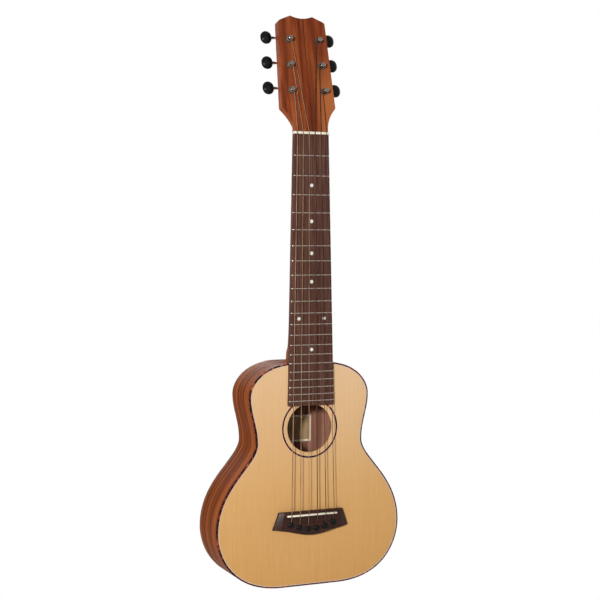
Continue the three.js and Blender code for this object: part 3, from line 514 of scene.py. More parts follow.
SPRUCE = spruce_finish()
ACACIA_SIDE = figured_finish(
    "acacia_sides", [(52, 20, 10), (104, 45, 20), (138, 66, 29), (168, 90, 43), (200, 126, 68)],
    0.0046, (0, 0.3, 0.5, 0.7, 1), layered=True, streak=0.3, line=0.6)
ACACIA_BACK = figured_finish(
    "acacia_back", [(66, 30, 20), (120, 62, 40), (158, 94, 64), (196, 128, 84)], 0.012, both=True)
# The inner face of the back, in its own figured tones, set a little darker as painted shade for the inside of
# the body.
ACACIA_INSIDE = figured_finish(
    "acacia_inside", [(84, 52, 42), (140, 96, 78), (168, 118, 98), (194, 142, 118)], 0.012)
ACACIA_HEAD = figured_finish(
    "acacia_head", [(74, 30, 16), (104, 44, 24), (130, 60, 32), (168, 92, 48)], 0.0085,
    rough=0.42, shine=0.06, marks=head_marks)
MAHOGANY = mahogany_finish()
ROSEWOOD_BOARD = rosewood_finish("rosewood_board", "Z", (110, 76, 65), (58, 36, 31), (82, 54, 45))
ROSEWOOD_BRIDGE = rosewood_finish(
    "rosewood_bridge", "X", (70, 38, 30), (30, 13, 11), (48, 25, 19), 0.15, 0.3)
ROSEWOOD_CAP = rosewood_finish("rosewood_cap", "X", (84, 50, 44), (40, 21, 20), (60, 35, 31))
CEDAR = even_finish("cedar_inside", [(300, 300, 14)], [(150, 104, 66), (190, 146, 100)], 0.75, 0.2)
SPRUCE_INSIDE = even_finish("spruce_inside", [(420, 420, 12)], [(186, 146, 96), (216, 182, 132)], 0.7, 0.2)
TORTOISE = tortoise_finish()
BONE = bone_finish()
PEARL = even_finish(
    "pearl_dots", [420, 3, 0.6, 1.5], [(186, 190, 186), (226, 226, 216), (214, 204, 214)], 0.25,
    coat_weight=0.5, coat_roughness=0.1)
CHROME = metal_finish("chrome", (0.5, 0.49, 0.48, 1), 0.1, 0.2)
FRET_METAL = metal_finish("fret_metal", (0.38, 0.32, 0.28, 1), 0.2, 0.32)
# A darker copy of the chrome for the posts and ferrules: its low base colour is painted dark reflection,
# against which the lamps leave glints.
POST_CHROME_PAINTED_DARK = metal_finish("post_chrome", (0.17, 0.155, 0.14, 1), 0.06, 0.14)
PLASTIC = plastic_finish()
WOUND = string_finish("bronze_winding", (112, 82, 58), (160, 128, 98), 0.34, 0.2, 0.5)
PLAIN = string_finish("plain_string", (64, 38, 26), (98, 62, 42), 0.22, 0.08)
PAPER = paper_finish()
LINE = even_finish("purfling_line", [500], [(176, 158, 142), (208, 194, 176)], 0.45)

# ---- shapes


def add(name, data):
    made = bpy.data.objects.new(name, data)
    scene.collection.objects.link(made)
    return made


def at(value, z):
    return value(z) if callable(value) else value


class Shell:
    """A mesh that is put together ring by ring, from points in millimetres."""

    def __init__(self):
        self.bm = bmesh.new()

    def ring(self, points):
        return [self.bm.verts.new(Vector(p) * MM) for p in points]

    def level(self, loop, depth):
        """A ring over a flat loop; depth is a number or a function of Z."""
        return self.ring([(x, at(depth, z), z) for x, z in loop])

    def strip(self, a, b, closed=True):
        count = len(a)
        for i in range(count if closed else count - 1):
            j = (i + 1) % count
            self.bm.faces.new((a[i], a[j], b[j], b[i]))

    def strips(self, rings, closed=True, around=False):
        for a, b in zip(rings, rings[1:] + (rings[:1] if around else [])):
            self.strip(a, b, closed)

    def cap(self, ring):
        self.bm.faces.new(ring)

    def fill(self, *rings):
        edges = []
        for ring in rings:
            for pair in zip(ring, ring[1:] + ring[:1]):
                edges.append(self.bm.edges.get(pair) or self.bm.edges.new(pair))
        bmesh.ops.triangle_fill(self.bm, edges=edges, use_beauty=True, use_dissolve=False)

    def loft(self, point_rings):
        rings = [self.ring(points) for points in point_rings]
        self.strips(rings)
        self.cap(rings[0])
        self.cap(rings[-1])
        return self

    def piece(self, name, material, slot, body="root", replaces=(), sharp=32):
        bmesh.ops.recalc_face_normals(self.bm, faces=self.bm.faces)
        mesh = bpy.data.meshes.new(name)
        self.bm.to_mesh(mesh)
        self.bm.free()
        mesh.polygons.foreach_set("use_smooth", [True] * len(mesh.polygons))
        mesh.set_sharp_from_angle(angle=radians(sharp))
        mesh.materials.append(material)
        made = add(name, mesh)
        if body:
            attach(made, body)
        if replaces:
            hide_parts(*replaces)
        return made


def bezier(a, b, c, d, steps):
    t = np.linspace(0, 1, steps + 1)[:, None]
    a, b, c, d = (np.array(p, float) for p in (a, b, c, d))
    return (1 - t) ** 3 * a + 3 * (1 - t) ** 2 * t * b + 3 * (1 - t) * t * t * c + t ** 3 * d


def circle(x, z, radius, sides):
    return [(x + radius * sin(t), z + radius * cos(t)) for t in turns(sides)]


def rectangle(left, low, right, high):
    return [(left, low), (right, low), (right, high), (left, high)]


def inset_loop(points, inset):
    """A closed flat loop moved inwards, whichever way it runs."""
    p = np.array(points, float)
    after = np.roll(p, -1, 0)
    turn = np.sign(np.sum(p[:, 0] * after[:, 1] - after[:, 0] * p[:, 1]))
    side = after - p
    side /= np.linalg.norm(side, axis=1)[:, None]
    out = np.stack([-side[:, 1], side[:, 0]], 1) * turn
    middle = out + np.roll(out, 1, 0)
    return p + inset * middle / np.sum(middle * out, axis=1)[:, None]


def softened(points, radius, steps=5):
    """A closed polygon with rounded corners; radius is one number or one per corner."""
    p = [np.array(q, float) for q in points]
    radii = radius if isinstance(radius, list) else [radius] * len(p)
    out = []
    for i, corner in enumerate(p):
        if radii[i] <= 0:
            out.append(corner)
            continue
        sides = [p[i - 1] - corner, p[(i + 1) % len(p)] - corner]
        reach = min(radii[i], *(0.45 * np.linalg.norm(side) for side in sides))
        start, end = (corner + side / np.linalg.norm(side) * reach for side in sides)
        out += bend(start, corner, end, shares(steps))
    return out


def rounding(radius, steps):
    """(inset, depth) pairs of a quarter round, from the face to the wall, or one pair if it has no radius."""
    quarter = [pi / 2 * share for share in shares(steps)] if radius else [0]
    return [(radius * (1 - sin(t)), radius * (1 - cos(t))) for t in quarter]


def flat(x, depth, z):
    return (x, depth, z)


def plate(shell, outline, near, far, front_round=0.0, back_round=0.0, holes=(), place=flat):
    """A flat piece with rounded edges between two depths. outline is a loop, or gives one for an inset."""
    loop = outline if callable(outline) else lambda inset: inset_loop(outline, inset)

    def level(points, depth, down=0):
        return shell.ring([place(x, at(depth, z) + down, z) for x, z in points])

    rings = [level(loop(inset), near, down) for inset, down in rounding(front_round, 4)]
    rings += [level(loop(inset), far, -up) for inset, up in reversed(rounding(back_round, 4))]
    shell.strips(rings)
    bores = [(level(hole, near), level(hole, far)) for hole in holes]
    for front, back in bores:
        shell.strip(front, back)
    shell.fill(rings[0], *(front for front, _ in bores))
    shell.fill(rings[-1], *(back for _, back in bores))
    return shell


def turned(profile, place, sides=40):
    """Rings of a turned form, from (radius, along) points. place(a, b, along) puts a point in the object."""
    return [
        [place(radius * sin(t), radius * cos(t), along) for t in turns(sides)]
        for radius, along in profile
    ]


def rod(points, radii):
    """Rings of a round rod along points, with a radius for each."""
    across = Vector((1, 0, 0))
    rings = []
    for i, (point, radius) in enumerate(zip(points, radii)):
        along = (points[min(i + 1, len(points) - 1)] - points[max(i - 1, 0)]).normalized()
        across = (across - along * across.dot(along)).normalized()
        up = along.cross(across)
        rings.append([point + radius * (across * cos(t) + up * sin(t)) for t in turns(ROD_SIDES)])
    return rings


def both_ends(half, ends):
    """Stations across X at both ends of a piece, given as (distance from the end, other values)."""
    return (
        [(away - half, *rest) for away, *rest in ends],
        [(half - away, *rest) for away, *rest in reversed(ends)],
    )


def half_outline():
    """Half of the body's outline with its inward normals, by even steps along its length."""
    z0, z1, z2, z3, z4 = (BODY_TOP - drop for drop in (0, UPPER_DROP, WAIST_DROP, LOWER_DROP, BODY_LENGTH))
    x0, x1, x2, x3, x4 = (w / 2 for w in (SHOULDER_FLAT, UPPER_BOUT, WAIST, LOWER_BOUT, TAIL_FLAT))
    (p0, p1), (p2, p3), (p4, p5), (p6, p7) = PULLS
    parts = [
        bezier((x0, z0), (lerp(x0, x1, p0), z0), (x1, lerp(z1, z0, p1)), (x1, z1), 200),
        bezier((x1, z1), (x1, lerp(z1, z2, p2)), (x2, lerp(z2, z1, p3)), (x2, z2), 200),
        bezier((x2, z2), (x2, lerp(z2, z3, p4)), (x3, lerp(z3, z2, p5)), (x3, z3), 300),
        bezier((x3, z3), (x3, lerp(z3, z4, p6)), (lerp(x4, x3, p7), z4), (x4, z4), 300),
    ]
    fine = np.vstack([parts[0]] + [p[1:] for p in parts[1:]])
    length = np.concatenate([[0], np.cumsum(np.linalg.norm(np.diff(fine, axis=0), axis=1))])
    places = np.linspace(0, length[-1], OUTLINE_STEPS + 1)
    points = np.stack([np.interp(places, length, fine[:, k]) for k in (0, 1)], 1)
    along = np.gradient(points, axis=0)
    along /= np.linalg.norm(along, axis=1)[:, None]
    along[0], along[-1] = (1, 0), (-1, 0)
    return points, np.stack([along[:, 1], -along[:, 0]], 1)


HALF, HALF_NORMAL = half_outline()


def half_loop(inset):
    """The outline's right half from the middle of the neck end to the middle of the tail."""
    edge = HALF + HALF_NORMAL * inset
    top = [(x, BODY_TOP - inset) for x in np.linspace(0, SHOULDER_FLAT / 2, 5)[:-1]]
    tail = [(x, BODY_TAIL + inset) for x in np.linspace(TAIL_FLAT / 2, 0, 7)[1:]]
    return top + [tuple(p) for p in edge] + tail


def body_loop(inset):
    right = half_loop(inset)
    return right + [(-x, z) for x, z in right[1:-1]][::-1]


def hoop(shell, section, half=None):
    """A strip round the body, from a closed list of (inset, depth) pairs; half is -1 or 1 for one side."""
    rings = []
    for inset, depth in section:
        loop = body_loop(inset) if half is None else [(half * x, z) for x, z in half_loop(inset)]
        rings.append(shell.level(loop, depth))
    shell.strips(rings, closed=half is None, around=True)
    if half is not None:
        shell.cap([ring[0] for ring in rings])
        shell.cap([ring[-1] for ring in rings])
    return shell


def hole_rings(shell, section):
    """Rings round the sound hole, from (radius, depth) pairs."""
    return [shell.level(circle(0, HOLE_Z, radius, HOLE_SIDES), depth) for radius, depth in section]


def inlay(shell, inner, outer, near):
    """A flat ring in the groove round the sound hole."""
    far = TOP_FACE + ROSETTE_DEPTH
    rings = hole_rings(shell, [(outer, near), (outer, far), (inner, far), (inner, near)])
    shell.strips(rings, around=True)
    return shell


# ---- body

shell = Shell()
rims = [shell.level(body_loop(inset), depth) for inset, depth in [
    (TOP_INSET, TOP_FACE), (TOP_INSET, TOP_FACE + PURFLING_DEPTH),
    (BINDING_WIDTH, TOP_FACE + PURFLING_DEPTH), (BINDING_WIDTH, TOP_INSIDE),
]]
lips = hole_rings(shell, [
    (ROSETTE_OUTER, TOP_FACE), (ROSETTE_OUTER, TOP_FACE + ROSETTE_DEPTH),
    (ROSETTE_INNER, TOP_FACE + ROSETTE_DEPTH), (ROSETTE_INNER, TOP_FACE),
    *((HOLE_RADIUS + inset, TOP_FACE + down) for inset, down in rounding(HOLE_ROUND, 3)),
    (HOLE_RADIUS, TOP_INSIDE),
])
for rings in (rims, lips):
    shell.strips(rings)
for k in (0, -1):
    shell.fill(rims[k], lips[k])
shell.piece("top_wood", SPRUCE, "spruce", replaces=["soundboard"])

inlay(
    Shell(), ROSETTE_INNER + ROSETTE_LINE, ROSETTE_OUTER - ROSETTE_LINE, TOP_FACE - INLAY_RISE,
).piece("rosette_ring", TORTOISE, "tortoise", replaces=["rosette"])
shell = Shell()
for inner in (ROSETTE_INNER, ROSETTE_OUTER - ROSETTE_LINE):
    inlay(shell, inner, inner + ROSETTE_LINE, TOP_FACE - LINE_RISE)
shell.piece("rosette_lines", LINE, "bone", replaces=["rosette"])

binding_far, binding_near = TOP_FACE + BINDING_HEIGHT, before_back(BINDING_HEIGHT)
hoop(Shell(), [(inset, TOP_FACE + down) for inset, down in rounding(EDGE_ROUND, 5)] + [
    (0, binding_far), (BINDING_WIDTH, binding_far), (BINDING_WIDTH, TOP_FACE),
]).piece("binding_front", TORTOISE, "tortoise", replaces=["binding_top"])
hoop(Shell(), [
    (BINDING_WIDTH, TOP_FACE - LINE_RISE), (BINDING_WIDTH, TOP_FACE + PURFLING_DEPTH),
    (TOP_INSET, TOP_FACE + PURFLING_DEPTH), (TOP_INSET, TOP_FACE - LINE_RISE),
]).piece("purfling_front", LINE, "bone")
shell = Shell()
rear_edge = [(inset, before_back(up)) for inset, up in reversed(rounding(EDGE_ROUND, 5))]
hoop(shell, [(BINDING_WIDTH, binding_near), (0, binding_near)] + rear_edge + [(BINDING_WIDTH, back_outside)])
shell.piece("binding_rear", TORTOISE, "tortoise", replaces=["binding_back"])

for half, name in [(-1, "bass"), (1, "treble")]:
    hoop(Shell(), [
        (0, binding_far), (0, binding_near), (SIDE_THICKNESS, binding_near), (SIDE_THICKNESS, binding_far),
    ], half).piece(f"side_wood_{name}", ACACIA_SIDE, "acacia", replaces=[f"side_{name}"])

back = plate(
    Shell(), lambda inset: body_loop(BINDING_WIDTH + inset), before_back(BACK_THICKNESS), back_outside,
).piece("back_wood", ACACIA_BACK, "acacia", replaces=["back_plate"])
back.data.materials.append(ACACIA_INSIDE)
for face in back.data.polygons:
    face.material_index = 1 if face.normal.y < -0.5 else 0
shell = Shell()
for x in SEAM_STARTS:
    seam = rectangle(x, BODY_TAIL + BINDING_WIDTH, x + SEAM_WIDTH, BODY_TOP - BINDING_WIDTH)
    plate(shell, softened(seam, 0.08, 4), 0, SEAM_DEPTH, 0.072, 0.072,
          place=lambda a, depth, z: (a, back_outside(z) - SEAM_SUNK + depth, z))
shell.piece("back_seam_lines", LINE, "bone")

# ---- neck and head


def section(half_width, start, ridge, power, flank=1.0):
    """Half round across X, from two ends at start to a ridge, both (depth, z)."""
    ring = []
    for share in shares(NECK_SIDES):
        turn = pi * share
        reach = sin(turn) ** power
        aside = copysign(abs(cos(turn)) ** flank, cos(turn))
        ring.append((half_width * aside, lerp(start[0], ridge[0], reach), lerp(start[1], ridge[1], reach)))
    return ring


def head_back(z):
    rise = (z + HEAD_THICKNESS * sin(TILT)) / cos(TILT)
    return HEAD_FACE_DROP + rise * sin(TILT) + HEAD_THICKNESS * cos(TILT)


def shaft_back(z):
    return TOP_FACE + lerp(NECK_DEPTH_AT_NUT, NECK_DEPTH_AT_HEEL, z / BODY_TOP)


def neck_sections():
    """Rings from the volute behind the nut, along the shaft, to the end of the heel."""
    rings = []
    volute_drop = shaft_back(0) - head_back(0)
    for share in VOLUTE_SHARES:
        z = share * VOLUTE_LENGTH
        front = TOP_FACE + z * tan(TILT)
        back = head_back(z) + volute_drop * (1 - share) ** 2
        rings.append(section(NUT_WIDTH / 2 * sqrt(1 - share ** 2), (front, z), (back, z), NECK_ROUND))
    for z in np.linspace(0, SHAFT_END, 24):
        rings.append(section(board_width(-z) / 2, (TOP_FACE, z), (shaft_back(z), z), NECK_ROUND))
    begin, end = (shaft_back(SHAFT_END), SHAFT_END), (CAP_FRONT, BODY_TOP + HEEL_CAP_LENGTH)
    pull = (begin[0] + HEEL_START_PULL[0], begin[1] + HEEL_START_PULL[1])
    ridge = bezier(begin, pull, (HEEL_END_PULL[0], BODY_TOP + HEEL_END_PULL[1]), end, HEEL_STEPS)
    for share, point in list(zip(shares(HEEL_STEPS), ridge))[1:]:
        if share < HEEL_CORNER:
            z = lerp(SHAFT_END, BODY_TOP, share / HEEL_CORNER)
            start, half_width = (TOP_FACE, z), board_width(-z) / 2
        else:
            down = (share - HEEL_CORNER) / (1 - HEEL_CORNER)
            start = (lerp(TOP_FACE, CAP_FRONT, down), BODY_TOP)
            half_width = lerp(board_width(-BODY_TOP) / 2, HEEL_CAP_WIDTH / 2, down ** HEEL_NARROWING)
        power, flank = lerp(NECK_ROUND, HEEL_ROUND, share), lerp(1, HEEL_ROUND, share)
        rings.append(section(half_width, start, point, power, flank))
    return rings


def head_outline():
    """Round the face from the nut's treble end, by way of the scooped top, to its bass end."""
    start, throat, *corners = [np.array((width / 2, rise)) for width, rise in [
        (HEAD_NECK_WIDTH, HEAD_START), (THROAT_WIDTH, THROAT_RISE), (SHOULDER_WIDTH, SHOULDER_RISE),
        (CROWN_WIDTH, CROWN_RISE), (PEAK_WIDTH, PEAK_RISE),
    ]]
    right = bend(start, throat, corners[0], shares(THROAT_STEPS)[:-1]) + corners
    for share in shares(SCOOP_STEPS)[1:]:
        reach = cos(pi / 2 * share)
        right.append((PEAK_WIDTH / 2 * reach, lerp(SCOOP_RISE, PEAK_RISE, reach ** 2)))
    radii = [0] * THROAT_STEPS + [SHOULDER_ROUND, CROWN_ROUND, PEAK_ROUND] + [0] * SCOOP_STEPS
    return softened(right + [(-x, z) for x, z in right[-2::-1]], radii + radii[-2::-1])


SHAFT_END = BODY_TOP + HEEL_REACH
CAP_FRONT = back_outside(BODY_TOP) - HEEL_CAP_THICKNESS
HEAD_START = (NUT_THICKNESS + HEAD_GAP) / cos(TILT) + VENEER * tan(TILT)
HEAD_LOOP = head_outline()
tuners = []
for index in range(6):
    side = 1 if index < 3 else -1
    rise = POST_RISE + (index if index < 3 else 5 - index) * POST_PITCH
    wide = lerp(SHOULDER_WIDTH / 2, CROWN_WIDTH / 2, (rise - SHOULDER_RISE) / (CROWN_RISE - SHOULDER_RISE))
    tuners.append((index + 1, side, side * (wide - POST_EDGE), rise))
bores = [circle(x, rise, HEAD_BORE, 32) for _, _, x, rise in tuners]
shell = Shell().loft(neck_sections())
plate(shell, HEAD_LOOP, VENEER, HEAD_THICKNESS, 0.0, 1.2, bores, carved_head_point).piece(
    "neck_wood", MAHOGANY, "mahogany", replaces=["neck"], sharp=38)
plate(Shell(), HEAD_LOOP, 0, VENEER, 0.4, 0.0, bores, head_point).piece(
    "head_face", ACACIA_HEAD, "acacia", replaces=["head_veneer"])

cap_end = (0, BODY_TOP + HEEL_CAP_LENGTH)
cap_section = section(HEEL_CAP_WIDTH / 2, (0, BODY_TOP), cap_end, HEEL_ROUND, HEEL_ROUND)
plate(Shell(), [(x, z) for x, _, z in cap_section], CAP_FRONT, back_outside(BODY_TOP), 0, 0.6).piece(
    "heel_cap_wood", ROSEWOOD_CAP, "rosewood", replaces=["heel_cap"])

# Board, frets and dots
board = [(-NUT_WIDTH / 2, 0), (NUT_WIDTH / 2, 0)]
board += [(BOARD_END_WIDTH / 2, -BOARD_LENGTH), (-BOARD_END_WIDTH / 2, -BOARD_LENGTH)]
board = softened(board, [0, 0, BOARD_CORNER, BOARD_CORNER], 4)
plate(Shell(), board, BOARD_FRONT, TOP_FACE, BOARD_ROUND).piece(
    "board_wood", ROSEWOOD_BOARD, "rosewood", replaces=["fretboard"])

shell = Shell()
crown = [(cos(pi * share), sin(pi * share)) for share in shares(10)]
for n in range(1, FRETS + 1):
    drop = fret_drop(n)
    start, end = both_ends(board_width(drop) / 2 - 0.1, [(0, 0.25), (1.3, 0.94), (1.7, 1.0)])
    shell.loft([
        [(x, BOARD_FRONT + FRET_SUNK - FRET_RISE * rise * b, 0.48 * FRET_WIDTH * a - drop) for a, b in crown]
        for x, rise in start + end
    ])
shell.piece("frets", FRET_METAL, "chrome", replaces=["fretboard"])

shell = Shell()
dot = [(2.05, 0.0), (2.05, -0.03), (1.4, -0.05), (0.6, -0.06), (0.05, -0.06)]
for n, places in DOTS:
    middle = -(fret_drop(n - 1) + fret_drop(n)) / 2
    for x in places:
        shell.loft(turned(dot, lambda a, b, along: (x + a, BOARD_FRONT + along, middle + b), 32))
shell.piece("board_dots", PEARL, "bone", replaces=["fretboard"])

# Nut with a slot for each string
strings = []
for index, diameter in enumerate(DIAMETERS):
    share = 1 - 2 * index / 5
    pin_z = SADDLE_Z - PIN_SETBACK - PIN_BOW * (1 - share ** 2)
    strings.append((index + 1, diameter, share * NUT_SPREAD / 2, share * SADDLE_SPREAD / 2, pin_z))
stations, end = both_ends(NUT_WIDTH / 2, [(0, 0.5), (0.15, 0.2), (0.6, 0.0)])
for _, diameter, x, _, _ in reversed(strings):
    reach = diameter / 2 + SLOT_MARGIN
    slot = [(-reach - SLOT_LIP, 0), (-reach, 0.8), (-reach / 2, 1), (reach / 2, 1), (reach, 0.8)]
    depth = NUT_RISE - LIFT_AT_NUT + SLOT_SPARE
    stations += [(x + aside, depth * share) for aside, share in slot + [(reach + SLOT_LIP, 0)]]
rings = []
for x, lower in stations + end:
    top = lower - NUT_RISE
    rings.append([
        (x, TOP_FACE, 0.02), (x, top + 0.5, 0.02), (x, top + 0.12, 0.15), (x, top, 0.5),
        (x, top, NUT_THICKNESS - 1.8), (x, top + 0.25, NUT_THICKNESS - 0.7),
        (x, top + 0.7, NUT_THICKNESS - 0.1), (x, top + 1.0, NUT_THICKNESS), (x, TOP_FACE, NUT_THICKNESS),
    ])
Shell().loft(rings).piece("nut_bone", BONE, "bone", replaces=["nut"], sharp=40)

# ---- bridge, saddle and pins

tip_z, belly_z = BRIDGE_TOP - BRIDGE_TIP_HEIGHT, BRIDGE_TOP - BRIDGE_BELLY_HEIGHT
bridge_loop = [(-BRIDGE_TOP_WIDTH / 2, BRIDGE_TOP), (-BRIDGE_TIP_WIDTH / 2, tip_z)]
for share in shares(BELLY_STEPS)[1:-1]:
    x = 2 * share - 1
    bridge_loop.append((x * BRIDGE_TIP_WIDTH / 2, lerp(tip_z, belly_z, (1 + cos(pi * x)) / 2)))
bridge_loop += [(BRIDGE_TIP_WIDTH / 2, tip_z), (BRIDGE_TOP_WIDTH / 2, BRIDGE_TOP)]
shell = Shell()
plane_ends = [shell.level(bridge_loop, depth) for depth in (BRIDGE_FRONT, TOP_FACE)]
shell.strip(*plane_ends)
for ring in plane_ends:
    shell.cap(ring)
for side in (-1, 1):
    top = Vector((side * (BRIDGE_TOP_WIDTH / 2 - BEVEL_TOP), BRIDGE_FRONT, BRIDGE_TOP))
    tip = Vector((side * (BRIDGE_TIP_WIDTH / 2 - BEVEL_TIP), BRIDGE_FRONT, tip_z))
    outward = Vector((0, 1, 0)).cross(tip - top).normalized()
    if outward.x * side < 0:
        outward.negate()
    bmesh.ops.bisect_plane(
        shell.bm, geom=shell.bm.verts[:] + shell.bm.edges[:] + shell.bm.faces[:],
        plane_co=top * MM, plane_no=outward,
    )
    slope = (BRIDGE_THICKNESS - BRIDGE_TIP_THICKNESS) / (BEVEL_TIP * abs(outward.x))
    for vert in shell.bm.verts:
        out = (vert.co / MM - top).dot(outward)
        if out > 1e-4 and vert.co.y / MM < BRIDGE_FRONT + 0.01:
            vert.co.y = (BRIDGE_FRONT + out * slope) * MM
bmesh.ops.recalc_face_normals(shell.bm, faces=shell.bm.faces)


def is_rim(edge):
    """An edge that is worn round: sharp, near the front, and not one of the upright corners."""
    a, b = (vert.co for vert in edge.verts)
    if len(edge.link_faces) != 2 or edge.calc_face_angle(0) <= RIM_ANGLE:
        return False
    upright = abs(a.y - b.y) > UPRIGHT * MM and abs(a.x - b.x) < 1e-5
    return min(a.y, b.y) < (TOP_FACE - 1) * MM and not upright


rim_edges = [edge for edge in shell.bm.edges if is_rim(edge)]
bmesh.ops.bevel(
    shell.bm, geom=rim_edges, offset=RIM_ROUND * MM, segments=3, profile=0.5, affect="EDGES",
    clamp_overlap=True)
shell.piece("bridge_wood", ROSEWOOD_BRIDGE, "rosewood", replaces=["bridge"], sharp=40)

rings = []
start, end = both_ends(SADDLE_LENGTH / 2, [(0, 0.9, 0.55), (0.3, 0.35, 0.85), (1.1, 0.0, 1.0)])
for x, lower, thin in start + end:
    w = SADDLE_THICKNESS / 2 * thin
    feet = [(x, BRIDGE_FRONT + SADDLE_SLOT, SADDLE_Z + a) for a in (-w, w)]
    crown = [(x, lower + d - LIFT_AT_SADDLE, SADDLE_Z + w * a) for a, d in SADDLE_CROWN]
    rings.append([feet[0]] + crown + [feet[1]])
Shell().loft(rings).piece("saddle_bone", BONE, "bone", replaces=["saddle"], sharp=40)

pin_top = BRIDGE_FRONT - PIN_HEIGHT
pin = [(0.05, pin_top), (0.9, pin_top + 0.03)]
for t in np.linspace(0.3, pi / 2, 9):
    pin.append((PIN_HEAD * sin(t), pin_top + PIN_DOME * (1 - cos(t))))
pin += [(PIN_HEAD, BRIDGE_FRONT - 0.7), (PIN_HEAD - 0.3, BRIDGE_FRONT - 0.25), (2.45, BRIDGE_FRONT - 0.12)]
pin += [(2.3, BRIDGE_FRONT), (2.1, TOP_FACE + 4.4)]
for number, _, _, pin_x, pin_z in strings:
    Shell().loft(turned(pin, lambda a, b, along: (pin_x + a, along, pin_z + b))).piece(
        f"pin_{number}", PLASTIC, "black_plastic", replaces=[f"bridge_pin_{number}"], sharp=45)

# ---- tuning machines

WHEEL_END = KEY_DEPTH + WHEEL_WIDTH / 2
EAR_END = PLATE_HALF + 0.2
PLATE_NEAR = HEAD_THICKNESS + 0.2
PLATE_FACE = PLATE_NEAR + PLATE_THICKNESS
PLATE_TOP = WORM_OFFSET + PLATE_ABOVE
LEAD = atan(WORM_PITCH / (2 * pi * WORM_RADIUS))
WORM_ROOT, WORM_TIP = WORM_RADIUS - TOOTH_MODULE - TOOTH_GAP, WORM_RADIUS + TOOTH_MODULE - TOOTH_GAP

# Turned profiles of one machine: (radius, along)
FLANGE = [
    (2.8, -0.9), (3.1, -1.15), (3.5, -1.2), (3.9, -1.05), (4.2, -0.6), (4.3, -0.05), (3.7, -0.02),
    (3.7, 6), (2.8, 6),
]
STEM = [
    (0.05, -8), (1.6, -8), (2.3, -7.92), (2.7, -7.7), (2.9, -7.3), (2.9, -6.9), (2.75, -6.55), (2.45, -6.25),
    (2.25, -5.7), (2.2, -5.0), (2.25, -3.6), (2.4, -2.4), (2.45, -1.6), (2.5, 0), (2.5, WHEEL_END),
    (2.6, WHEEL_END), (2.6, WHEEL_END + 0.9), (2.4, WHEEL_END + 1.15), (1.9, WHEEL_END + 1.2),
    (0.05, WHEEL_END + 1.2),
]
SHAFT_TAIL = [
    (0.05, -EAR_END - 1), (1.6, -EAR_END - 1), (COLLAR_RADIUS, -EAR_END - 0.75), (COLLAR_RADIUS, -EAR_END),
    (SHAFT_RADIUS, -EAR_END), (SHAFT_RADIUS, -3.2),
]
SHAFT_HEAD = [(radius, -along) for radius, along in SHAFT_TAIL[:0:-1]] + [
    (SHAFT_RADIUS, EAR_END + 1.05), (SHAFT_RADIUS, BUTTON_GAP - 4), (1.75, BUTTON_GAP - 3.2),
    (COLLAR_RADIUS, BUTTON_GAP + 1.2), (0.05, BUTTON_GAP + 1.2),
]
BUTTON = []
for share in shares(28):
    turn = pi * share
    radius = BUTTON_HEIGHT / 2 * max(sin(turn) ** 0.9, 0.02)
    BUTTON.append((radius, BUTTON_GAP + BUTTON_LENGTH * (1 - cos(turn)) / 2))
SCREW_HEAD = [(radius, PLATE_FACE + along) for radius, along in [
    (1.7, -0.1), (1.7, 0.1), (1.5, 0.45), (1.1, 0.7), (0.6, 0.8), (0.55, 0.45), (0.05, 0.45),
]]
SCREW_SHANK = [(0.75, PLATE_FACE - 0.1), (0.75, PLATE_NEAR - 3.5), (0.1, PLATE_NEAR - 5)]
EAR = softened(
    rectangle(PLATE_NEAR + 0.6, -EAR_HALF, KEY_DEPTH + EAR_REACH, EAR_HALF), [0, EAR_ROUND, EAR_ROUND, 0])


def tooth_radius(angle):
    root = WHEEL_RADIUS - TOOTH_MODULE - 2 * TOOTH_GAP
    tip = WHEEL_RADIUS + TOOTH_MODULE - TOOTH_GAP
    share = abs(angle * WHEEL_TEETH / (2 * pi) % 1 - 0.5)
    return lerp(tip, root, smooth((share - 0.07) / 0.17))


def wheel_rings(place):
    """Slanted teeth, with both rims bevelled."""
    rings = []
    for depth, shrink in [(-1.6, 0.35), (-1.35, 0.0), (0, 0), (1.35, 0.0), (1.6, 0.35)]:
        slant = -depth * tan(LEAD) / WHEEL_RADIUS
        ring = []
        for angle in turns(WHEEL_TEETH * TOOTH_STEPS):
            radius = tooth_radius(angle) - shrink
            aside, up = radius * sin(angle + slant), radius * cos(angle + slant)
            ring.append(place(aside, up, KEY_DEPTH + depth))
        rings.append(ring)
    return rings


def worm_rings(x, rise):
    """One thread, which fades out at both ends."""
    rings = []
    for share in shares(WORM_STEPS):
        s = lerp(-WORM_HALF, WORM_HALF, share)
        fade = smooth((WORM_HALF - 0.05 - abs(s)) / 0.5)
        ring = []
        for turn in turns(WORM_SIDES):
            phase = abs((s / WORM_PITCH - (turn + pi / 2) / (2 * pi)) % 1 - 0.5)
            radius = lerp(WORM_ROOT, WORM_TIP, smooth((phase - 0.26) / 0.17) * fade)
            depth, up = KEY_DEPTH + radius * cos(turn), rise + WORM_OFFSET + radius * sin(turn)
            ring.append(head_point(x + s, depth, up))
        rings.append(ring)
    return rings


def drill(post, x, rise):
    """Cut the string's hole through a post."""
    bore = [(POST_HOLE_RADIUS, -4), (POST_HOLE_RADIUS, 4)]
    rings = turned(bore, lambda a, b, along: head_point(x + along, POST_HOLE_DEPTH + a, rise + b), 24)
    bit = Shell().loft(rings).piece("bit", CHROME, "chrome", body=None)
    hole = post.modifiers.new("hole", "BOOLEAN")
    hole.operation, hole.object, hole.solver = "DIFFERENCE", bit, "EXACT"
    bpy.context.view_layer.update()
    drilled = bpy.data.meshes.new_from_object(post.evaluated_get(bpy.context.evaluated_depsgraph_get()))
    post.modifiers.clear()
    post.data = drilled
    bpy.data.objects.remove(bit)


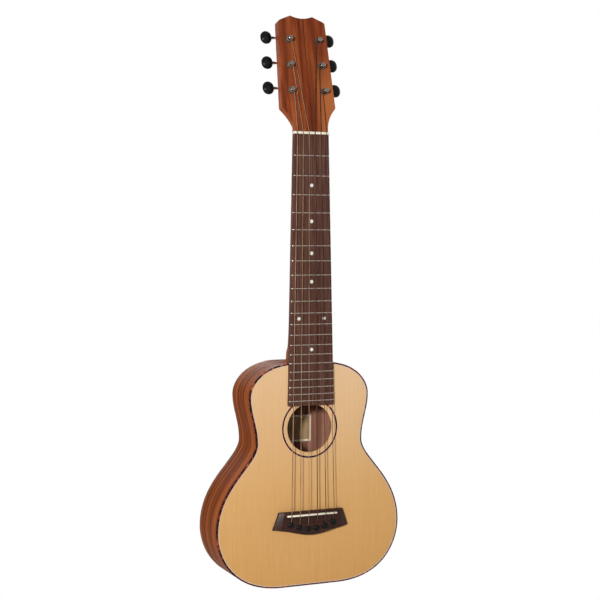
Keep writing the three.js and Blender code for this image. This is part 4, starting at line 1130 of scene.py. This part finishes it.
for number, side, x, rise in tuners:
    on_head = lambda a, b, along: head_point(x + a, along, rise + b)
    on_key = lambda a, b, along: head_point(x + side * along, KEY_DEPTH + a, rise + WORM_OFFSET + b)
    on_button = lambda a, b, along: on_key(a * BUTTON_THICKNESS / BUTTON_HEIGHT, b, along)
    on_ear = lambda depth, across, up: head_point(x + across, depth, rise + WORM_OFFSET + up)
    shell = Shell()
    shell.strips([shell.ring(points) for points in turned(FLANGE, on_head, 48)], around=True)
    shell.piece(f"ferrule_ring_{number}", POST_CHROME_PAINTED_DARK, "chrome", replaces=[f"ferrule_{number}"])

    post = Shell().loft(turned(STEM, on_head)).loft(wheel_rings(on_head)).piece(
        f"post_turned_{number}", POST_CHROME_PAINTED_DARK, "chrome", body=f"post_{number}",
        replaces=[f"tuner_post_{number}"], sharp=38)
    drill(post, x, rise)

    shaft = Shell().loft(turned(SHAFT_TAIL, on_key, 32)).loft(turned(SHAFT_HEAD, on_key, 32))
    shaft.loft(worm_rings(x, rise)).piece(
        f"key_steel_{number}", CHROME, "chrome", body=f"key_{number}",
        replaces=[f"tuner_key_{number}"], sharp=40)
    Shell().loft(turned(BUTTON, on_button, 48)).piece(
        f"key_button_{number}", PLASTIC, "black_plastic", body=f"key_{number}",
        replaces=[f"tuner_key_{number}"])

    screw_rises = [SCREW_EDGE - PLATE_BELOW, PLATE_TOP - SCREW_EDGE]
    holes = [circle(x, rise, PLATE_BORE, 32)] + [circle(x, rise + s, SCREW_BORE, 20) for s in screw_rises]
    loop = softened(rectangle(x - PLATE_HALF, rise - PLATE_BELOW, x + PLATE_HALF, rise + PLATE_TOP), 2.2, 6)
    shell = plate(Shell(), loop, PLATE_NEAR, PLATE_FACE, 0.1, 0.3, holes, head_point)
    for ear_side in (-1, 1):
        low, high = sorted((ear_side * PLATE_HALF, ear_side * (PLATE_HALF - EAR_THICKNESS)))
        plate(shell, EAR, low, high, 0.2, 0.2, [circle(KEY_DEPTH, 0, EAR_BORE, 24)], on_ear)
    shell.piece(f"plate_steel_{number}", CHROME, "chrome", replaces=[f"tuner_plate_{number}"], sharp=40)
    shell = Shell()
    for screw_rise in screw_rises:
        on_screw = lambda a, b, along: on_head(a, screw_rise + b, along)
        shell.loft(turned(SCREW_HEAD, on_screw, 28)).loft(turned(SCREW_SHANK, on_screw, 16))
    shell.piece(f"plate_screws_{number}", CHROME, "chrome", sharp=40)

# ---- strings


def winding(x, rise, inner, diameter, nut_end):
    """Points round a post, from where the string meets it."""
    radius = POST_WAIST + diameter / 2 + WINDING_GAP
    local = to_head @ nut_end
    away_x, away_z = local.x - x, local.z - rise
    first = atan2(away_z, inner * away_x) + acos(radius / hypot(away_x, away_z))
    coil = []
    for step in range(int(WINDINGS * WINDING_STEPS) + 1):
        turn = step / WINDING_STEPS
        angle = first + 2 * pi * turn
        height = WINDING_HEIGHT + diameter / 2 + turn * (diameter + WINDING_GAP)
        reach = radius - 0.1 * smooth((turn - 0.3) / 1.5)
        aside, up = inner * reach * cos(angle), reach * sin(angle)
        coil.append(Vector(head_point(x + aside, -height, rise + up)))
    return coil


head_frame = Matrix.Translation((0, HEAD_FACE_DROP, 0)) @ Matrix.Rotation(-TILT, 4, "X")
to_head = head_frame.inverted()
ball = TOP_INSIDE + BRIDGE_PLATE_THICKNESS + BALL_GAP + BALL_RADIUS
for (number, diameter, nut_x, pin_x, pin_z), (_, side, x, rise) in zip(strings, tuners):
    nut_end = Vector((nut_x, -LIFT_AT_NUT - diameter / 2, NUT_THICKNESS / 2))
    leave = Vector((nut_x, -LIFT_AT_NUT - diameter / 2, 0.3))
    coil = winding(x, rise, -side, diameter, nut_end)
    string_z = pin_z + STRING_IN_HOLE
    points = [Vector((pin_x, ball - along, string_z)) for along in (-1.9, -0.95, 0.95, 1.9, 2.2)]
    points.append(Vector((pin_x, BRIDGE_FRONT + 0.6, string_z)))
    over_bridge = Vector((pin_x, BRIDGE_FRONT - diameter / 2 - 0.2, string_z))
    on_saddle = Vector((pin_x, -LIFT_AT_SADDLE - diameter / 2, SADDLE_Z))
    points += bend(points[-1], over_bridge, over_bridge.lerp(on_saddle, 0.25), shares(6)[1:-1])
    before, after = over_bridge.lerp(on_saddle, 0.93), on_saddle.lerp(leave, 0.003)
    points += bend(before, on_saddle, after, shares(6))
    points += [on_saddle.lerp(leave, share) for share in shares(8)[1:-1]]
    points += bend(leave, nut_end, nut_end.lerp(coil[0], 0.06), shares(6))
    points += [nut_end.lerp(coil[0], share) for share in (0.3, 0.6, 0.85)] + coil
    radii = [0.5, BALL_RADIUS, BALL_RADIUS, 0.5] + [diameter / 2] * (len(points) - 4)
    material, slot = (WOUND, "wound_string") if number > PLAIN_STRINGS else (PLAIN, "plain_string")
    line = Shell().loft(rod(points, radii)).piece(
        f"string_line_{number}", material, slot, body=None, replaces=[f"string_{number}"], sharp=60)
    start = Vector(head_point(x, BLEND_FROM, rise)) * MM
    end = Vector(head_point(x, BLEND_TO, rise)) * MM
    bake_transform(line)

# ---- finishes of the nodes that stay

for material, names in [
    (CEDAR, ["lining_top", "lining_back"]), (SPRUCE_INSIDE, ["x_brace", "upper_brace"]),
    (PAPER, ["inside_label"]),
    (MAHOGANY, ["neck_block", "tail_block", "back_brace_upper", "back_brace_lower", "bridge_plate"]),
]:
    for name in names:
        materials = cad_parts[name].data.materials
        materials.clear()
        materials.append(material)

# ---- floor, light and camera

floor_mesh = bpy.data.meshes.new("floor")
corners = rectangle(-FLOOR_HALF, -FLOOR_HALF, FLOOR_HALF, FLOOR_HALF)
floor_mesh.from_pydata([(x, y, FLOOR_Z) for x, y in corners], [], [(0, 1, 2, 3)])
floor = add("floor", floor_mesh)
floor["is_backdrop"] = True

pale = bpy.data.materials.new("pale_floor")
nodes = Nodes(pale)
paint = nodes.node("BsdfDiffuse", {"Color": (FLOOR_TONE, FLOOR_TONE, FLOOR_TONE, 1)})
glow = nodes.node("Emission", {"Color": (1, 1, 1, 1)})
place = nodes.node("TexCoord").outputs["Object"]
away = nodes.node("VectorMath", {0: place}, operation="LENGTH").outputs["Value"]
spread = nodes.span(away, SHADOW_NEAR, SHADOW_FAR, FLOOR_GLOW, 1.0)
nodes.output("OutputMaterial", nodes.math("MULTIPLY", nodes.seen_rays(), spread), paint, glow)
floor_mesh.materials.append(pale)

world = bpy.data.worlds.new("studio")
scene.world = world
nodes = Nodes(world)
soft, white = (
    nodes.node("Background", {"Color": (1, 1, 1, 1), "Strength": strength})
    for strength in (SOFT_LIGHT, WHITE_LIGHT)
)
nodes.output("OutputWorld", nodes.seen_rays(), soft, white)


def lamp(name, azimuth, elevation, distance, size, power):
    """A soft square lamp; azimuth is 0 in front of the object and negative on the bass side."""
    data = bpy.data.lights.new(name, "AREA")
    data.shape, data.size, data.energy = "SQUARE", size, power
    made = add(name, data)
    a, e = radians(azimuth), radians(elevation)
    away = Vector((sin(a) * cos(e), -cos(a) * cos(e), sin(e)))
    made.location = LAMP_AIM + distance * away
    made.rotation_euler = (-away).to_track_quat("-Z", "Y").to_euler()
    made.visible_camera = False


lamp("key", -38, 9, 2.2, 0.2, 46)
lamp("fill", -4, 20, 2.6, 1.2, 4)
lamp("treble_side", 112, 15, 2.4, 1.2, 20)
lamp("back", 178, 20, 2.4, 1.4, 26)

# The camera as fitted to the photo: focal length in pixels, distances in millimetres
FOCAL, PHOTO_WIDTH, SENSOR_WIDTH = 1321.8, 600, 36
TURN, PITCH = radians(23.126), radians(2.375)
DISTANCE, ACROSS, DOWN = 1503.1, 13.68, -188.61
right = Vector((cos(TURN), -sin(TURN), 0))
into = Vector((sin(TURN), cos(TURN), 0))
below = Vector((0, 0, -1))
down = cos(PITCH) * below - sin(PITCH) * into
forward = cos(PITCH) * into + sin(PITCH) * below
data = bpy.data.cameras.new("camera")
data.sensor_width = SENSOR_WIDTH
data.lens = FOCAL / PHOTO_WIDTH * SENSOR_WIDTH
camera = add("camera", data)
facing = Matrix((right, -down, -forward)).transposed().to_4x4()
camera.matrix_world = Matrix.Translation((-ACROSS * right - DOWN * down - DISTANCE * forward) * MM) @ facing
scene.camera = camera
scene.view_settings.view_transform = "Standard"

low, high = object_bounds()
